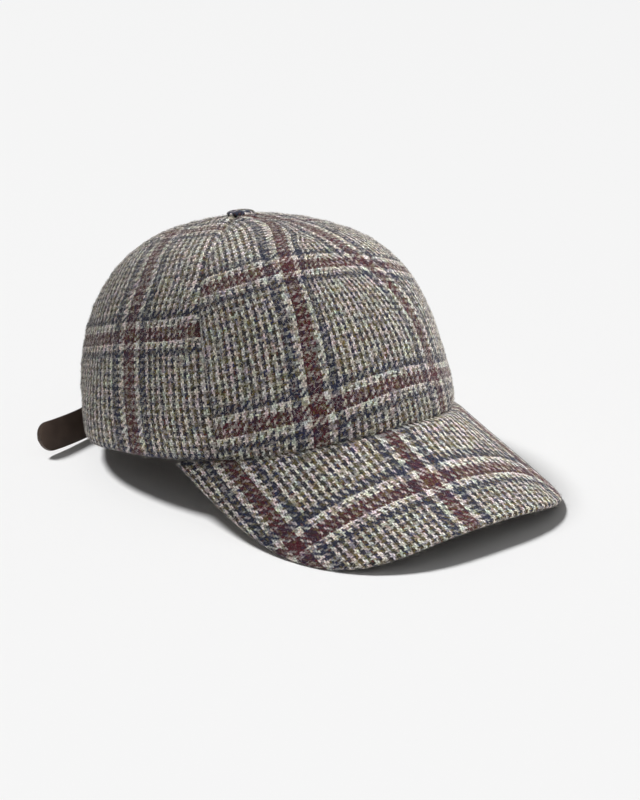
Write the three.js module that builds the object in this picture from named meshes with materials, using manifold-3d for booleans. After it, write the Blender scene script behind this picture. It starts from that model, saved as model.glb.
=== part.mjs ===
import * as THREE from "three";
import { mergeVertices } from "three/addons/utils/BufferGeometryUtils.js";
import Module from "manifold-3d";

// Sizes in millimetres, angles in degrees. The peak points along -Y, the wearer's right is -X.
// The crown leans back as it does when the cap rests on its peak and on its back edge.
const CROWN_LEAN = 9.2;
const CROWN_LIFT = 14.3;

// Cloth walls, with a seam groove and a folded hem worked into their outer face.
const CLOTH_WALL = 2.0;
const SEAM_GAP = 0.3;
const SEAM_GROOVE = 0.9;
const SEAM_GROOVE_REACH = 3.6;
const HEM_ROLL = 0.7;
const HEM_REACH = 2.6;
const HEM_NOSE = 0.4;

// The crown's rows from the rim to the button: half lengths to the front, side and back,
// and the azimuths, from the front, of the front and side seams.
const CROWN_ROWS = [
  { row: 0, height: 0.0, front: 103.8, side: 89.2, back: 82.5, frontSeam: 48.0, sideSeam: 131 },
  { row: 1, height: 14.6, front: 104.9, side: 88.2, back: 88.5, frontSeam: 48.3, sideSeam: 131 },
  { row: 2, height: 33.5, front: 103.1, side: 83.2, back: 98.5, frontSeam: 49.6, sideSeam: 131 },
  { row: 3, height: 53.1, front: 99.3, side: 76.4, back: 97.7, frontSeam: 51.4, sideSeam: 131 },
  { row: 4, height: 71.6, front: 89.8, side: 68.6, back: 84.5, frontSeam: 52.8, sideSeam: 130 },
  { row: 5, height: 87.4, front: 71.1, side: 53.9, back: 68.9, frontSeam: 52.8, sideSeam: 129 },
  { row: 6, height: 97.5, front: 43.7, side: 33.6, back: 49.0, frontSeam: 52.0, sideSeam: 128 },
  { row: 7, height: 102.6, front: 14.0, side: 12.6, back: 17.0, frontSeam: 54.0, sideSeam: 127 },
  { row: 8, height: 103.6, front: 4.4, side: 4.4, back: 4.4, frontSeam: 56.0, sideSeam: 127 },
];
const TOP_ROW = 8;
const RIM_WAVE_ROWS = 7;

// How far the crown's lower edge rises above row 0, and how far above that edge
// the peak's upper face meets the crown.
const RIM_EDGE = [
  { azimuth: 0, lift: 6.0, seat: 3.1 },
  { azimuth: 30, lift: 2.8, seat: 2.9 },
  { azimuth: 60, lift: 2.5, seat: 0.8 },
  { azimuth: 90, lift: 3.8, seat: 0.0 },
  { azimuth: 130, lift: 1.2, seat: 0.0 },
  { azimuth: 151, lift: -3.0, seat: 0.0 },
  { azimuth: 180, lift: -5.9, seat: 0.0 },
];

// The arched opening over the strap, in azimuth either side of the back and in crown rows.
const ARCH_HALF_ANGLE = 29;
const ARCH_TOP_ROW = 2.5;

// The grid of the cloth panels.
const PANEL_STEPS = { front: 24, side: 13, backPlain: 3, arch: 7 };
const PANEL_ROWS = 15;
const HEM_STEP = 0.16;
const EDGE_COLUMN = 1.4;
const WIDEST_EDGE_SHARE = 0.1;
const WIDEST_GROOVE_SHARE = 0.22;
const ARCH_FOOT_MARGIN = 1.0;

// The peak: a stiff board that bends down to both sides and slopes to the front.
const PEAK_BOARD = 3.1;
const PEAK_HALF_WIDTH = 80.3;
const PEAK_ROOT = 43.9;
const PEAK_REACH = 116.2;
const PEAK_SIDE_POWER = 3.8;
const PEAK_FRONT_POWER = 3.5;
const PEAK_CREST = 42.6;
const PEAK_DROP = 42.1;
const PEAK_DROP_AT = 88;
const PEAK_DROP_POWER = 2.65;
const PEAK_SLOPE_FROM = 80;
const PEAK_SLOPE = 0.41;
const PEAK_SLOPE_EASE = 0.08;
const PEAK_END_AZIMUTH = 59.5;
const PEAK_EDGE_ROUND = 1.2;
const PEAK_COLUMNS = 40;
const PEAK_BANDS = 8;
const PEAK_OUTLINE_STEPS = 2000;
const CROWN_GAP = 0.4;

// The button that closes the crown, on a stem through the panels' meeting point.
const BUTTON_RADIUS = 7.0;
const BUTTON_HEIGHT = 2.6;
const BUTTON_CLEARANCE = 0.35;
const BUTTON_STEM = 2.6;
const BUTTON_PLATE_RADIUS = 6.0;
const BUTTON_PLATE = 0.8;
const BUTTON_SIDES = 24;
// The dome of the button, from its lower edge to its middle, in shares of radius and height.
const BUTTON_DOME = [
  { radius: 0.9, height: 0.0 },
  { radius: 1.0, height: 0.34 },
  { radius: 0.96, height: 0.62 },
  { radius: 0.78, height: 0.88 },
  { radius: 0.48, height: 1.0 },
  { radius: 0.0, height: 1.06 },
];

// The leather strap, its tab and the slide buckle between them.
const STRAP_WIDTH = 15.0;
const STRAP_THICKNESS = 1.6;
const STRAP_SOFT_EDGE = 0.4;
const STRAP_LEAN = 20;
const STRAP_STEPS = 80;
const TIP_FLATNESS = 0.02;
const TAB_WIDTH = 14.0;
const TAB_STEPS = 14;
const BUCKLE_CENTRE_X = -22.0;
const BUCKLE_LENGTH = 19.0;
const BUCKLE_HEIGHT = 18.8;
const BUCKLE_RAIL = 1.5;
const BUCKLE_BAR = 2.2;
const BUCKLE_THICKNESS = 1.8;
const BUCKLE_CORNER = 2.2;
const BUCKLE_CORNER_STEPS = 4;
const BUCKLE_SEARCH_STEP = 0.001;
const BUCKLE_WEAVE = 2.15;
const WEAVE_SQUARENESS = 1.5;
const WEAVE_FADE = 8.0;

// The middle line of the strap, from inside the left back panel to the free tip.
const STRAP_LINE = [
  { x: 60.0, y: 55.0, z: 9.9 },
  { x: 50.0, y: 65.4, z: 9.9 },
  { x: 40.0, y: 71.6, z: 9.9 },
  { x: 24.0, y: 77.4, z: 9.9 },
  { x: 0.0, y: 81.0, z: 9.9 },
  { x: -22.0, y: 81.6, z: 9.9 },
  { x: -42.0, y: 79.7, z: 9.3 },
  { x: -53.0, y: 74.3, z: 8.6 },
  { x: -64.4, y: 68.0, z: 8.2 },
  { x: -81.0, y: 61.2, z: 8.6 },
  { x: -96.8, y: 56.4, z: 9.2 },
];
// The middle line of the tab behind it, from the buckle to inside the right back panel.
const TAB_LINE = [
  { x: -25.0, y: 76.6, z: 9.9 },
  { x: -36.0, y: 73.2, z: 9.9 },
  { x: -46.0, y: 67.4, z: 9.9 },
  { x: -56.0, y: 58.6, z: 9.9 },
];

const CLOTH = new THREE.MeshStandardMaterial({ color: 0x8b877c, roughness: 0.95, metalness: 0 });
const LEATHER = new THREE.MeshStandardMaterial({ color: 0x352b24, roughness: 0.5, metalness: 0 });
const BRASS = new THREE.MeshStandardMaterial({ color: 0x9c8350, roughness: 0.35, metalness: 1 });

const wasm = await Module();
wasm.setup();

const { degToRad } = THREE.MathUtils;
const X_AXIS = new THREE.Vector3(1, 0, 0);

// A smooth curve through one column of a table, taken at a value of its key column.
function along(table, key, column, at, flatEnds = false) {
  const last = table.length - 1;
  let i = 0;
  while (i < last - 1 && at > table[i + 1][key]) i += 1;
  const slopeAt = (k) => {
    if (flatEnds && (k === 0 || k === last)) return 0;
    const before = table[Math.max(k - 1, 0)];
    const after = table[Math.min(k + 1, last)];
    return (after[column] - before[column]) / (after[key] - before[key]);
  };
  const span = table[i + 1][key] - table[i][key];
  const s = (at - table[i][key]) / span;
  const start = (1 + 2 * s) * (1 - s) ** 2 * table[i][column];
  const end = s * s * (3 - 2 * s) * table[i + 1][column];
  const leaving = s * (1 - s) ** 2 * span * slopeAt(i);
  const arriving = s * s * (s - 1) * span * slopeAt(i + 1);
  return start + end + leaving + arriving;
}

const rowValue = (column, row) => along(CROWN_ROWS, "row", column, row);
const rimValue = (column, azimuth) => along(RIM_EDGE, "azimuth", column, Math.abs(azimuth), true);

// The crown's outer face. Azimuth runs from the front to the wearer's right.
function crownPoint(azimuth, row) {
  const u = degToRad(azimuth);
  const lengthwise = rowValue(Math.cos(u) > 0 ? "front" : "back", row);
  const radius = 1 / Math.hypot(Math.cos(u) / lengthwise, Math.sin(u) / rowValue("side", row));
  const wave = rimValue("lift", azimuth) * Math.max(0, 1 - row / RIM_WAVE_ROWS) ** 3;
  const point = new THREE.Vector3(
    -radius * Math.sin(u),
    -radius * Math.cos(u),
    rowValue("height", row) + wave,
  );
  point.applyAxisAngle(X_AXIS, -degToRad(CROWN_LEAN));
  point.z += CROWN_LIFT;
  return point;
}

function crownNormal(azimuth, row) {
  const turn = 0.5;
  const rise = 0.05;
  const around = crownPoint(azimuth - turn, row).sub(crownPoint(azimuth + turn, row));
  const upward = crownPoint(azimuth, Math.min(row + rise, TOP_ROW))
    .sub(crownPoint(azimuth, Math.max(row - rise, 0)));
  return around.cross(upward).normalize();
}

// Cloth that would reach below the resting surface lies flat on it.
function onFloor(point) {
  point.z = Math.max(point.z, 0);
  return point;
}

// A closed mesh from points and faces of any order of turning, with its faces pointing out.
function closedMesh(name, points, faces, material) {
  const triangles = [];
  for (const face of faces) {
    for (let k = 1; k < face.length - 1; k += 1) triangles.push([face[0], face[k], face[k + 1]]);
  }
  const volume = triangles.reduce((sum, [a, b, c]) => {
    const crossed = new THREE.Vector3().crossVectors(points[b], points[c]);
    return sum + points[a].dot(crossed);
  }, 0);
  const index = triangles.flatMap(([a, b, c]) => (volume > 0 ? [a, b, c] : [a, c, b]));
  const geometry = new THREE.BufferGeometry().setFromPoints(points);
  geometry.setIndex(index);
  geometry.computeVertexNormals();
  const mesh = new THREE.Mesh(geometry, material);
  mesh.name = name;
  return mesh;
}

// One closed geometry with others cut out of it.
function cutAway(geometry, cutters) {
  const toSolid = (shape) => {
    const bare = shape.clone();
    bare.deleteAttribute("normal");
    bare.deleteAttribute("uv");
    const merged = mergeVertices(bare);
    return new wasm.Manifold(new wasm.Mesh({
      numProp: 3,
      vertProperties: new Float32Array(merged.attributes.position.array),
      triVerts: new Uint32Array(merged.index.array),
    }));
  };
  const left = cutters.reduce((solid, cutter) => solid.subtract(toSolid(cutter)), toSolid(geometry));
  const mesh = left.getMesh();
  const result = new THREE.BufferGeometry();
  result.setAttribute("position", new THREE.BufferAttribute(mesh.vertProperties, 3));
  result.setIndex(new THREE.BufferAttribute(mesh.triVerts, 1));
  result.computeVertexNormals();
  return result;
}

// A wall from sections that each hold an outer line, an inner line of as many points,
// and a nose point that rounds the wall's first edge.
function wallFromSections(name, sections, material) {
  const points = sections.flatMap(({ outer, inner, nose }) => [...outer, ...inner, nose]);
  const count = sections[0].outer.length;
  const size = 2 * count + 1;
  const outer = (i, j) => i * size + j;
  const inner = (i, j) => i * size + count + j;
  const nose = (i) => i * size + 2 * count;
  const top = count - 1;
  const last = sections.length - 1;
  const faces = [];
  for (let i = 0; i < last; i += 1) {
    for (let j = 0; j < top; j += 1) {
      faces.push([outer(i, j), outer(i + 1, j), outer(i + 1, j + 1), outer(i, j + 1)]);
      faces.push([inner(i, j), inner(i, j + 1), inner(i + 1, j + 1), inner(i + 1, j)]);
    }
    faces.push([outer(i, top), outer(i + 1, top), inner(i + 1, top), inner(i, top)]);
    faces.push([nose(i), nose(i + 1), outer(i + 1, 0), outer(i, 0)]);
    faces.push([inner(i, 0), inner(i + 1, 0), nose(i + 1), nose(i)]);
  }
  for (let j = 0; j < top; j += 1) {
    faces.push([outer(0, j), outer(0, j + 1), inner(0, j + 1), inner(0, j)]);
    faces.push([outer(last, j), inner(last, j), inner(last, j + 1), outer(last, j + 1)]);
  }
  faces.push([nose(0), outer(0, 0), inner(0, 0)]);
  faces.push([nose(last), inner(last, 0), outer(last, 0)]);
  return closedMesh(name, points, faces, material);
}

// How deep a groove of a given depth and reach is, at a distance from its line.
const groove = (depth, reach, distance) => depth * Math.max(0, 1 - distance / reach) ** 2;

// The height, in crown rows, at which the arched opening ends above an azimuth.
function archRow(azimuth) {
  const offBack = (180 - Math.abs(azimuth)) / ARCH_HALF_ANGLE;
  return ARCH_TOP_ROW * Math.sqrt(Math.max(0, 1 - offBack * offBack));
}

// One cloth panel between two seam columns, low and high in azimuth.
function crownPanel(name, low, high, shares) {
  const place = (share, row) => {
    const width = crownPoint(low(row), row).distanceTo(crownPoint(high(row), row));
    const edge = Math.min(EDGE_COLUMN / width, WIDEST_EDGE_SHARE);
    const reach = Math.min(SEAM_GROOVE_REACH / width, WIDEST_GROOVE_SHARE);
    const halfGap = SEAM_GAP / 2 / width;
    const inside = reach + (1 - 2 * reach) * share.inside;
    const byEdge = { first: halfGap, second: edge, middle: inside, fourth: 1 - edge, last: 1 - halfGap };
    const t = byEdge[share.kind];
    return { azimuth: low(row) + t * (high(row) - low(row)), fromSeam: Math.min(t, 1 - t) * width };
  };
  const sections = shares.map((share) => {
    const bottom = archRow(place(share, 1).azimuth);
    const outer = [];
    const inner = [];
    for (let j = 0; j <= PANEL_ROWS + 1; j += 1) {
      const second = bottom + HEM_STEP;
      const row = j === 0 ? bottom : second + ((TOP_ROW - second) * (j - 1)) / PANEL_ROWS;
      const { azimuth, fromSeam } = place(share, row);
      const normal = crownNormal(azimuth, row);
      const surface = crownPoint(azimuth, row);
      const fromHem = surface.distanceTo(crownPoint(azimuth, bottom));
      const sunk = groove(SEAM_GROOVE, SEAM_GROOVE_REACH, fromSeam) + groove(HEM_ROLL, HEM_REACH, fromHem);
      outer.push(onFloor(surface.clone().addScaledVector(normal, -sunk)));
      inner.push(onFloor(surface.clone().addScaledVector(normal, -CLOTH_WALL)));
    }
    const downward = outer[0].clone().sub(outer[1]).normalize();
    const nose = outer[0].clone().lerp(inner[0], 0.5).addScaledVector(downward, HEM_NOSE);
    return { outer, inner, nose: onFloor(nose) };
  });
  return wallFromSections(name, sections, CLOTH);
}

// Columns across a panel: two at each seam, and the rest at shares of the way between.
function panelShares(insideShares) {
  const middle = insideShares.map((inside) => ({ kind: "middle", inside }));
  return [{ kind: "first" }, { kind: "second" }, ...middle, { kind: "fourth" }, { kind: "last" }];
}

const evenShares = (steps) => Array.from({ length: steps + 1 }, (_, i) => i / steps);

// Columns of a back panel, from the side seam to the back seam, closer at the arch's foot.
function archShares() {
  const sideSeam = rowValue("sideSeam", 0);
  const foot = (180 - ARCH_HALF_ANGLE - ARCH_FOOT_MARGIN - sideSeam) / (180 - sideSeam);
  const plain = evenShares(PANEL_STEPS.backPlain).map((s) => s * foot);
  const arched = evenShares(PANEL_STEPS.arch).slice(1)
    .map((s) => foot + (1 - foot) * (1 - Math.cos((s * Math.PI) / 2)));
  return [...plain, ...arched];
}

const frontSeam = (row) => rowValue("frontSeam", row);
const sideSeam = (row) => rowValue("sideSeam", row);

function crownPanels() {
  const sideShares = panelShares(evenShares(PANEL_STEPS.side));
  const backShares = archShares();
  const mirroredBack = backShares.map((s) => 1 - s).reverse();
  return [
    crownPanel("front_panel", (r) => -frontSeam(r), frontSeam, panelShares(evenShares(PANEL_STEPS.front))),
    crownPanel("side_panel_right", frontSeam, sideSeam, sideShares),
    crownPanel("side_panel_left", (r) => -sideSeam(r), (r) => -frontSeam(r), sideShares),
    crownPanel("back_panel_right", sideSeam, () => 180, panelShares(backShares)),
    crownPanel("back_panel_left", () => -180, (r) => -sideSeam(r), panelShares(mirroredBack)),
  ];
}

// The peak's middle surface, before it is fitted to the crown.
function peakHeight(x, y) {
  const across = Math.abs(x) / PEAK_DROP_AT;
  const slope = PEAK_SLOPE - PEAK_SLOPE_EASE * across * across;
  return PEAK_CREST - PEAK_DROP * across ** PEAK_DROP_POWER - slope * (-y - PEAK_SLOPE_FROM);
}

// The peak's outline seen from above, from its right end round the front to its left end.
class PeakOutline extends THREE.Curve {
  getPoint(t, target = new THREE.Vector3()) {
    const turn = (0.5 - t) * Math.PI;
    const across = Math.sign(turn) * Math.abs(Math.sin(turn)) ** (2 / PEAK_SIDE_POWER);
    const forward = Math.max(Math.cos(turn), 0) ** (2 / PEAK_FRONT_POWER);
    return target.set(-PEAK_HALF_WIDTH * across, -PEAK_ROOT - PEAK_REACH * forward, 0);
  }
}

// Where the peak meets the crown: a point of the crown's face at a height above its edge.
function crownFoot(azimuth, above) {
  const row = along(CROWN_ROWS, "height", "row", above);
  const foot = crownPoint(azimuth, row);
  return foot.addScaledVector(crownNormal(azimuth, Math.max(row, 0)), CROWN_GAP);
}

function buildPeak() {
  const outline = new PeakOutline();
  outline.arcLengthDivisions = PEAK_OUTLINE_STEPS;
  const outlinePoints = outline.getSpacedPoints(PEAK_COLUMNS);
  const middle = outlinePoints.map((edge, i) => {
    const azimuth = PEAK_END_AZIMUTH * (1 - (2 * i) / PEAK_COLUMNS);
    const seat = rimValue("seat", azimuth);
    const upper = crownFoot(azimuth, seat);
    const lower = crownFoot(azimuth, seat - PEAK_BOARD);
    const root = upper.clone().lerp(lower, 0.5);
    const misfit = root.z - peakHeight(root.x, root.y);
    const line = [];
    for (let j = 0; j <= PEAK_BANDS; j += 1) {
      const inward = j / PEAK_BANDS;
      const point = edge.clone().lerp(root, inward);
      point.z = peakHeight(point.x, point.y) + misfit * inward * inward;
      line.push(point);
    }
    return { line, upper, lower };
  });
  const last = PEAK_COLUMNS;
  const sections = middle.map(({ line, upper, lower }, i) => {
    const before = middle[Math.max(i - 1, 0)].line;
    const after = middle[Math.min(i + 1, last)].line;
    const outer = [];
    const inner = [];
    for (let j = 0; j < PEAK_BANDS; j += 1) {
      const across = after[j].clone().sub(before[j]);
      const inwards = line[j + 1].clone().sub(line[Math.max(j - 1, 0)]);
      const normal = inwards.clone().cross(across).normalize();
      if (normal.z < 0) normal.negate();
      const point = line[j].clone();
      if (j === 0) point.addScaledVector(inwards.normalize(), PEAK_EDGE_ROUND);
      outer.push(point.clone().addScaledVector(normal, PEAK_BOARD / 2));
      inner.push(onFloor(point.clone().addScaledVector(normal, -PEAK_BOARD / 2)));
    }
    outer.push(upper);
    inner.push(lower);
    return { outer, inner, nose: onFloor(line[0].clone()) };
  });
  return wallFromSections("peak", sections, CLOTH);
}

// The button: a domed cap, a stem through the crown and a plate inside it, turned in one piece.
function buildButton() {
  const inside = CLOTH_WALL + BUTTON_CLEARANCE;
  const domeHeight = BUTTON_HEIGHT - BUTTON_CLEARANCE;
  const dome = BUTTON_DOME.map(({ radius, height }) => [
    radius * BUTTON_RADIUS,
    BUTTON_CLEARANCE + height * domeHeight,
  ]);
  const profile = [
    [0, -inside - BUTTON_PLATE],
    [BUTTON_PLATE_RADIUS, -inside - BUTTON_PLATE],
    [BUTTON_PLATE_RADIUS, -inside],
    [BUTTON_STEM, -inside],
    [BUTTON_STEM, BUTTON_CLEARANCE],
    ...dome,
  ].map(([radius, height]) => new THREE.Vector2(radius, height));
  const button = new THREE.Mesh(new THREE.LatheGeometry(profile, BUTTON_SIDES), CLOTH);
  button.name = "button";
  button.geometry.rotateX(Math.PI / 2);
  const crownTop = new THREE.Vector3(0, 0, rowValue("height", TOP_ROW));
  crownTop.applyAxisAngle(X_AXIS, -degToRad(CROWN_LEAN));
  button.position.copy(crownTop);
  button.position.z += CROWN_LIFT;
  button.rotation.x = -degToRad(CROWN_LEAN);
  return button;
}

const lineCurve = (table) => new THREE.CatmullRomCurve3(
  table.map(({ x, y, z }) => new THREE.Vector3(x, y, z)),
  false,
  "centripetal",
);

// How far the strap steps out of the buckle's plane: behind both ends and over the middle bar.
function weave(x) {
  const fromCentre = Math.abs(x - BUCKLE_CENTRE_X);
  const endBar = (BUCKLE_LENGTH - BUCKLE_BAR) / 2;
  if (fromCentre <= endBar) {
    const swing = WEAVE_SQUARENESS * Math.cos((fromCentre / endBar) * Math.PI);
    return BUCKLE_WEAVE * THREE.MathUtils.clamp(swing, -1, 1);
  }
  const fade = Math.min((fromCentre - endBar) / (WEAVE_FADE + BUCKLE_BAR), 1);
  return -BUCKLE_WEAVE * Math.cos((fade * Math.PI) / 2) ** 2;
}

// The directions across a strip, up and outwards, as it leans out with the crown's wall.
function leaningAxes(tangent) {
  const lean = degToRad(STRAP_LEAN);
  const outward = new THREE.Vector3(tangent.y, -tangent.x, 0).normalize();
  if (outward.y < 0) outward.negate();
  return {
    rise: outward.clone().multiplyScalar(Math.sin(lean)).setZ(Math.cos(lean)),
    facing: outward.clone().multiplyScalar(Math.cos(lean)).setZ(-Math.sin(lean)),
  };
}

// A flat section with softened edges, as points up and outwards.
function softSection(half) {
  const thick = STRAP_THICKNESS / 2;
  const soft = Math.min(STRAP_SOFT_EDGE, half / 2);
  return [
    [half, thick / 2],
    [half - soft, thick],
    [soft - half, thick],
    [-half, thick / 2],
    [-half, -thick / 2],
    [soft - half, -thick],
    [half - soft, -thick],
    [half, -thick / 2],
  ];
}

// A leather strip along a line, leaning out with the crown's wall.
function leatherStrip(name, curve, steps, width, tip, offset) {
  const length = curve.getLength();
  const points = [];
  for (let i = 0; i <= steps; i += 1) {
    const at = i / steps;
    const centre = curve.getPointAt(at);
    const tangent = curve.getTangentAt(at);
    const { rise, facing } = leaningAxes(tangent);
    centre.addScaledVector(facing, offset(centre.x));
    const fromTip = Math.min(Math.max(((1 - at) * length) / (width / 2), TIP_FLATNESS), 1);
    const half = (width / 2) * (tip ? Math.sqrt(1 - (1 - fromTip) ** 2) : 1);
    for (const [up, out] of softSection(half)) {
      points.push(centre.clone().addScaledVector(rise, up).addScaledVector(facing, out));
    }
  }
  const sides = points.length / (steps + 1);
  const faces = [];
  for (let i = 0; i < steps; i += 1) {
    for (let k = 0; k < sides; k += 1) {
      const next = (k + 1) % sides;
      faces.push([i * sides + k, (i + 1) * sides + k, (i + 1) * sides + next, i * sides + next]);
    }
  }
  const first = Array.from({ length: sides }, (_, k) => k);
  faces.push(first);
  faces.push(first.map((k) => steps * sides + k).reverse());
  return closedMesh(name, points, faces, LEATHER);
}

// The slide buckle: a rounded frame with a middle bar, lying in the strap's plane.
function buildBuckle(curve) {
  const halfLength = BUCKLE_LENGTH / 2;
  const halfHeight = BUCKLE_HEIGHT / 2;
  const corner = BUCKLE_CORNER;
  const frame = new THREE.Shape();
  frame.moveTo(-halfLength + corner, -halfHeight);
  frame.lineTo(halfLength - corner, -halfHeight);
  frame.quadraticCurveTo(halfLength, -halfHeight, halfLength, -halfHeight + corner);
  frame.lineTo(halfLength, halfHeight - corner);
  frame.quadraticCurveTo(halfLength, halfHeight, halfLength - corner, halfHeight);
  frame.lineTo(-halfLength + corner, halfHeight);
  frame.quadraticCurveTo(-halfLength, halfHeight, -halfLength, halfHeight - corner);
  frame.lineTo(-halfLength, -halfHeight + corner);
  frame.quadraticCurveTo(-halfLength, -halfHeight, -halfLength + corner, -halfHeight);
  const geometry = new THREE.ExtrudeGeometry(frame, {
    depth: BUCKLE_THICKNESS,
    bevelEnabled: false,
    curveSegments: BUCKLE_CORNER_STEPS,
  });
  geometry.translate(0, 0, -BUCKLE_THICKNESS / 2);
  // Three bars share the length with the two slots.
  const slotLength = (BUCKLE_LENGTH - 3 * BUCKLE_BAR) / 2;
  const slots = [-1, 1].map((side) => {
    const slot = new THREE.BoxGeometry(slotLength, BUCKLE_HEIGHT - 2 * BUCKLE_RAIL, BUCKLE_THICKNESS * 2);
    return slot.translate((side * (slotLength + BUCKLE_BAR)) / 2, 0, 0);
  });
  const buckle = new THREE.Mesh(cutAway(geometry, slots), BRASS);
  buckle.name = "buckle";
  let at = 0;
  while (curve.getPointAt(at).x > BUCKLE_CENTRE_X) at += BUCKLE_SEARCH_STEP;
  const centre = curve.getPointAt(at);
  const { rise, facing } = leaningAxes(curve.getTangentAt(at));
  const sideways = rise.clone().cross(facing);
  buckle.quaternion.setFromRotationMatrix(new THREE.Matrix4().makeBasis(sideways, rise, facing));
  buckle.position.copy(centre);
  return buckle;
}

const strapCurve = lineCurve(STRAP_LINE);
const cap = new THREE.Group();
cap.add(...crownPanels());
cap.add(buildPeak());
cap.add(buildButton());
cap.add(leatherStrip("strap", strapCurve, STRAP_STEPS, STRAP_WIDTH, true, weave));
cap.add(leatherStrip("strap_tab", lineCurve(TAB_LINE), TAB_STEPS, TAB_WIDTH, false, () => 0));
cap.add(buildBuckle(strapCurve));

// The origin is the middle of the cap's footprint, on the surface it rests on.
const extent = new THREE.Box3().setFromObject(cap, true);
const middle = extent.getCenter(new THREE.Vector3());
cap.position.set(-middle.x, -middle.y, -extent.min.z);

export default cap;
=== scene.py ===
import math

import bpy
import numpy as np
from bpy.props import FloatProperty, FloatVectorProperty, PointerProperty
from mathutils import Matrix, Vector


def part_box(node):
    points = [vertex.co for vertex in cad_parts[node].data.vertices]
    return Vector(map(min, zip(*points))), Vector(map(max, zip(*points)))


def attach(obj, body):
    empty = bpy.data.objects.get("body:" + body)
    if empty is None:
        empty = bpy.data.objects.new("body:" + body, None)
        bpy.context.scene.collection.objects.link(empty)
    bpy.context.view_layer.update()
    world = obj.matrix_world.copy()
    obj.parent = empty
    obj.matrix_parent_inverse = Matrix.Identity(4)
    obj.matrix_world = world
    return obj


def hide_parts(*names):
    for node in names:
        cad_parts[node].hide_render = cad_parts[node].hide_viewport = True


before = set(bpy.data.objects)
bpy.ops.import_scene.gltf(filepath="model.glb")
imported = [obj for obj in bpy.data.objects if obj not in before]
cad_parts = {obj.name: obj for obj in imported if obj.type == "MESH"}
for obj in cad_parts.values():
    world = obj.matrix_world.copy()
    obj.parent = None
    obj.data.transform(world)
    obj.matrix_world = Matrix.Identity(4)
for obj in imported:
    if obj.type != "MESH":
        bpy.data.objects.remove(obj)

bl_info = {
    "name": "Five-panel cap",
    "version": (1, 0, 0),
    "blender": (4, 5, 0),
    "location": "3D View > Sidebar > Cap",
    "description": "Dresses a soft five-panel cap in checked wool, leather and brass",
    "category": "Add Mesh",
}

MM = 0.001

# The crown leans back as the cap rests on its peak and on the two feet of its back arch.
CROWN_LEAN = math.radians(9.2)
CROWN_LIFT = 14.3
TOP_ROW = 8
RIM_WAVE_ROWS = 7

# The crown's rows from the rim to the button, in millimetres and degrees.
# height, front, side and back half lengths, azimuth of the front seam and of the side seam
CROWN_ROWS = np.array([
    (0.0, 103.8, 89.2, 82.5, 48.0, 131),
    (14.6, 104.9, 88.2, 88.5, 48.3, 131),
    (33.5, 103.1, 83.2, 98.5, 49.6, 131),
    (53.1, 99.3, 76.4, 97.7, 51.4, 131),
    (71.6, 89.8, 68.6, 84.5, 52.8, 130),
    (87.4, 71.1, 53.9, 68.9, 52.8, 129),
    (97.5, 43.7, 33.6, 49.0, 52.0, 128),
    (102.6, 14.0, 12.6, 17.0, 54.0, 127),
    (103.6, 4.4, 4.4, 4.4, 56.0, 127),
])
HEIGHT, FRONT, SIDE, BACK, FRONT_SEAM, SIDE_SEAM = range(6)

# azimuth, lift of the crown's lower edge, height above it at which the peak meets the crown
RIM_EDGE = np.array([
    (0, 6.0, 3.1),
    (30, 2.8, 2.9),
    (60, 2.5, 0.8),
    (90, 3.8, 0.0),
    (130, 1.2, 0.0),
    (151, -3.0, 0.0),
    (180, -5.9, 0.0),
])
RIM_LIFT, PEAK_MEETS = 1, 2
ARCH_HALF_ANGLE = 29
ARCH_TOP_ROW = 2.5

# Steps in degrees and rows over which the crown's slope is taken, and points that measure its lines.
AZIMUTH_STEP = 0.5
ROW_STEP = 0.05
MERIDIAN_POINTS = 60
RING_POINTS = 24

# How a crown panel's cells crowd towards its seams and its hem, and the height its rows are counted for.
SEAM_CROWDING = 1.35
HEM_CROWDING = 1.12
PANEL_HEIGHT = 150
# The groove of the turned hem, in millimetres.
HEM_DEPTH = 1.3
HEM_REACH = 3.6
# The swelling beside a seam: its distance from the seam, its reach, and its waves along the seam.
PUFF_FROM_SEAM = 6.0
PUFF_REACH = 4.0
PUFF_WAVE = 11.0
PUFF_WAVER = 0.6
# The length of the crown's soft dents, and the distance from a seam over which they fade.
DENT_LENGTH = 55.0
DENT_FADE = 15.0

# The peak's outline and the way it bends, in millimetres.
PEAK_HALF_WIDTH = 80.3
PEAK_ROOT = 43.9
PEAK_REACH = 116.2
PEAK_SIDE_POWER = 3.8
PEAK_FRONT_POWER = 3.5
PEAK_CREST = 42.6
PEAK_DROP = 42.1
PEAK_DROP_AT = 88
PEAK_DROP_POWER = 2.65
PEAK_SLOPE_FROM = 80
PEAK_SLOPE = 0.41
PEAK_SLOPE_EASE = 0.08
PEAK_END_AZIMUTH = 59.5
# How far the peak's root is sunk into the crown.
PEAK_SINKS = 0.6
# The crease where the peak's upper cloth turns in under the crown.
PEAK_CREASE_DEPTH = 2.0
PEAK_CREASE_REACH = 2.6
# The peak's soft dents.
PEAK_DENTS = 0.25
PEAK_DENT_LENGTH = 40.0
# The peak's mesh: cells along its outline and across, and the share of them that turns round the edge.
PEAK_CELLS = (190, 130)
PEAK_EDGE_SHARE = 0.1
PEAK_STEP = 1e-3
# Cloth taken by the turn round the edge, as a share of a round turn's half thickness.
PEAK_EDGE_CLOTH = 1.2

# The nap's hairs, in millimetres: length, half thickness, height of the middle over the cloth, rise of
# the tip over the middle, and depth of the root.
HAIR_LENGTH = (1.2, 3.6)
HAIR_THICKNESS = (0.04, 0.075)
HAIR_STAND = (0.05, 0.45)
HAIR_TIP_RISE = (-0.3, 0.5)
HAIR_ROOT = 0.15
# Shares of a hair's length: its spread of bends, its way to the middle, and on to the tip.
HAIR_BEND = 0.25
HAIR_TO_MIDDLE = 0.5
HAIR_TO_TIP = 0.4
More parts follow.
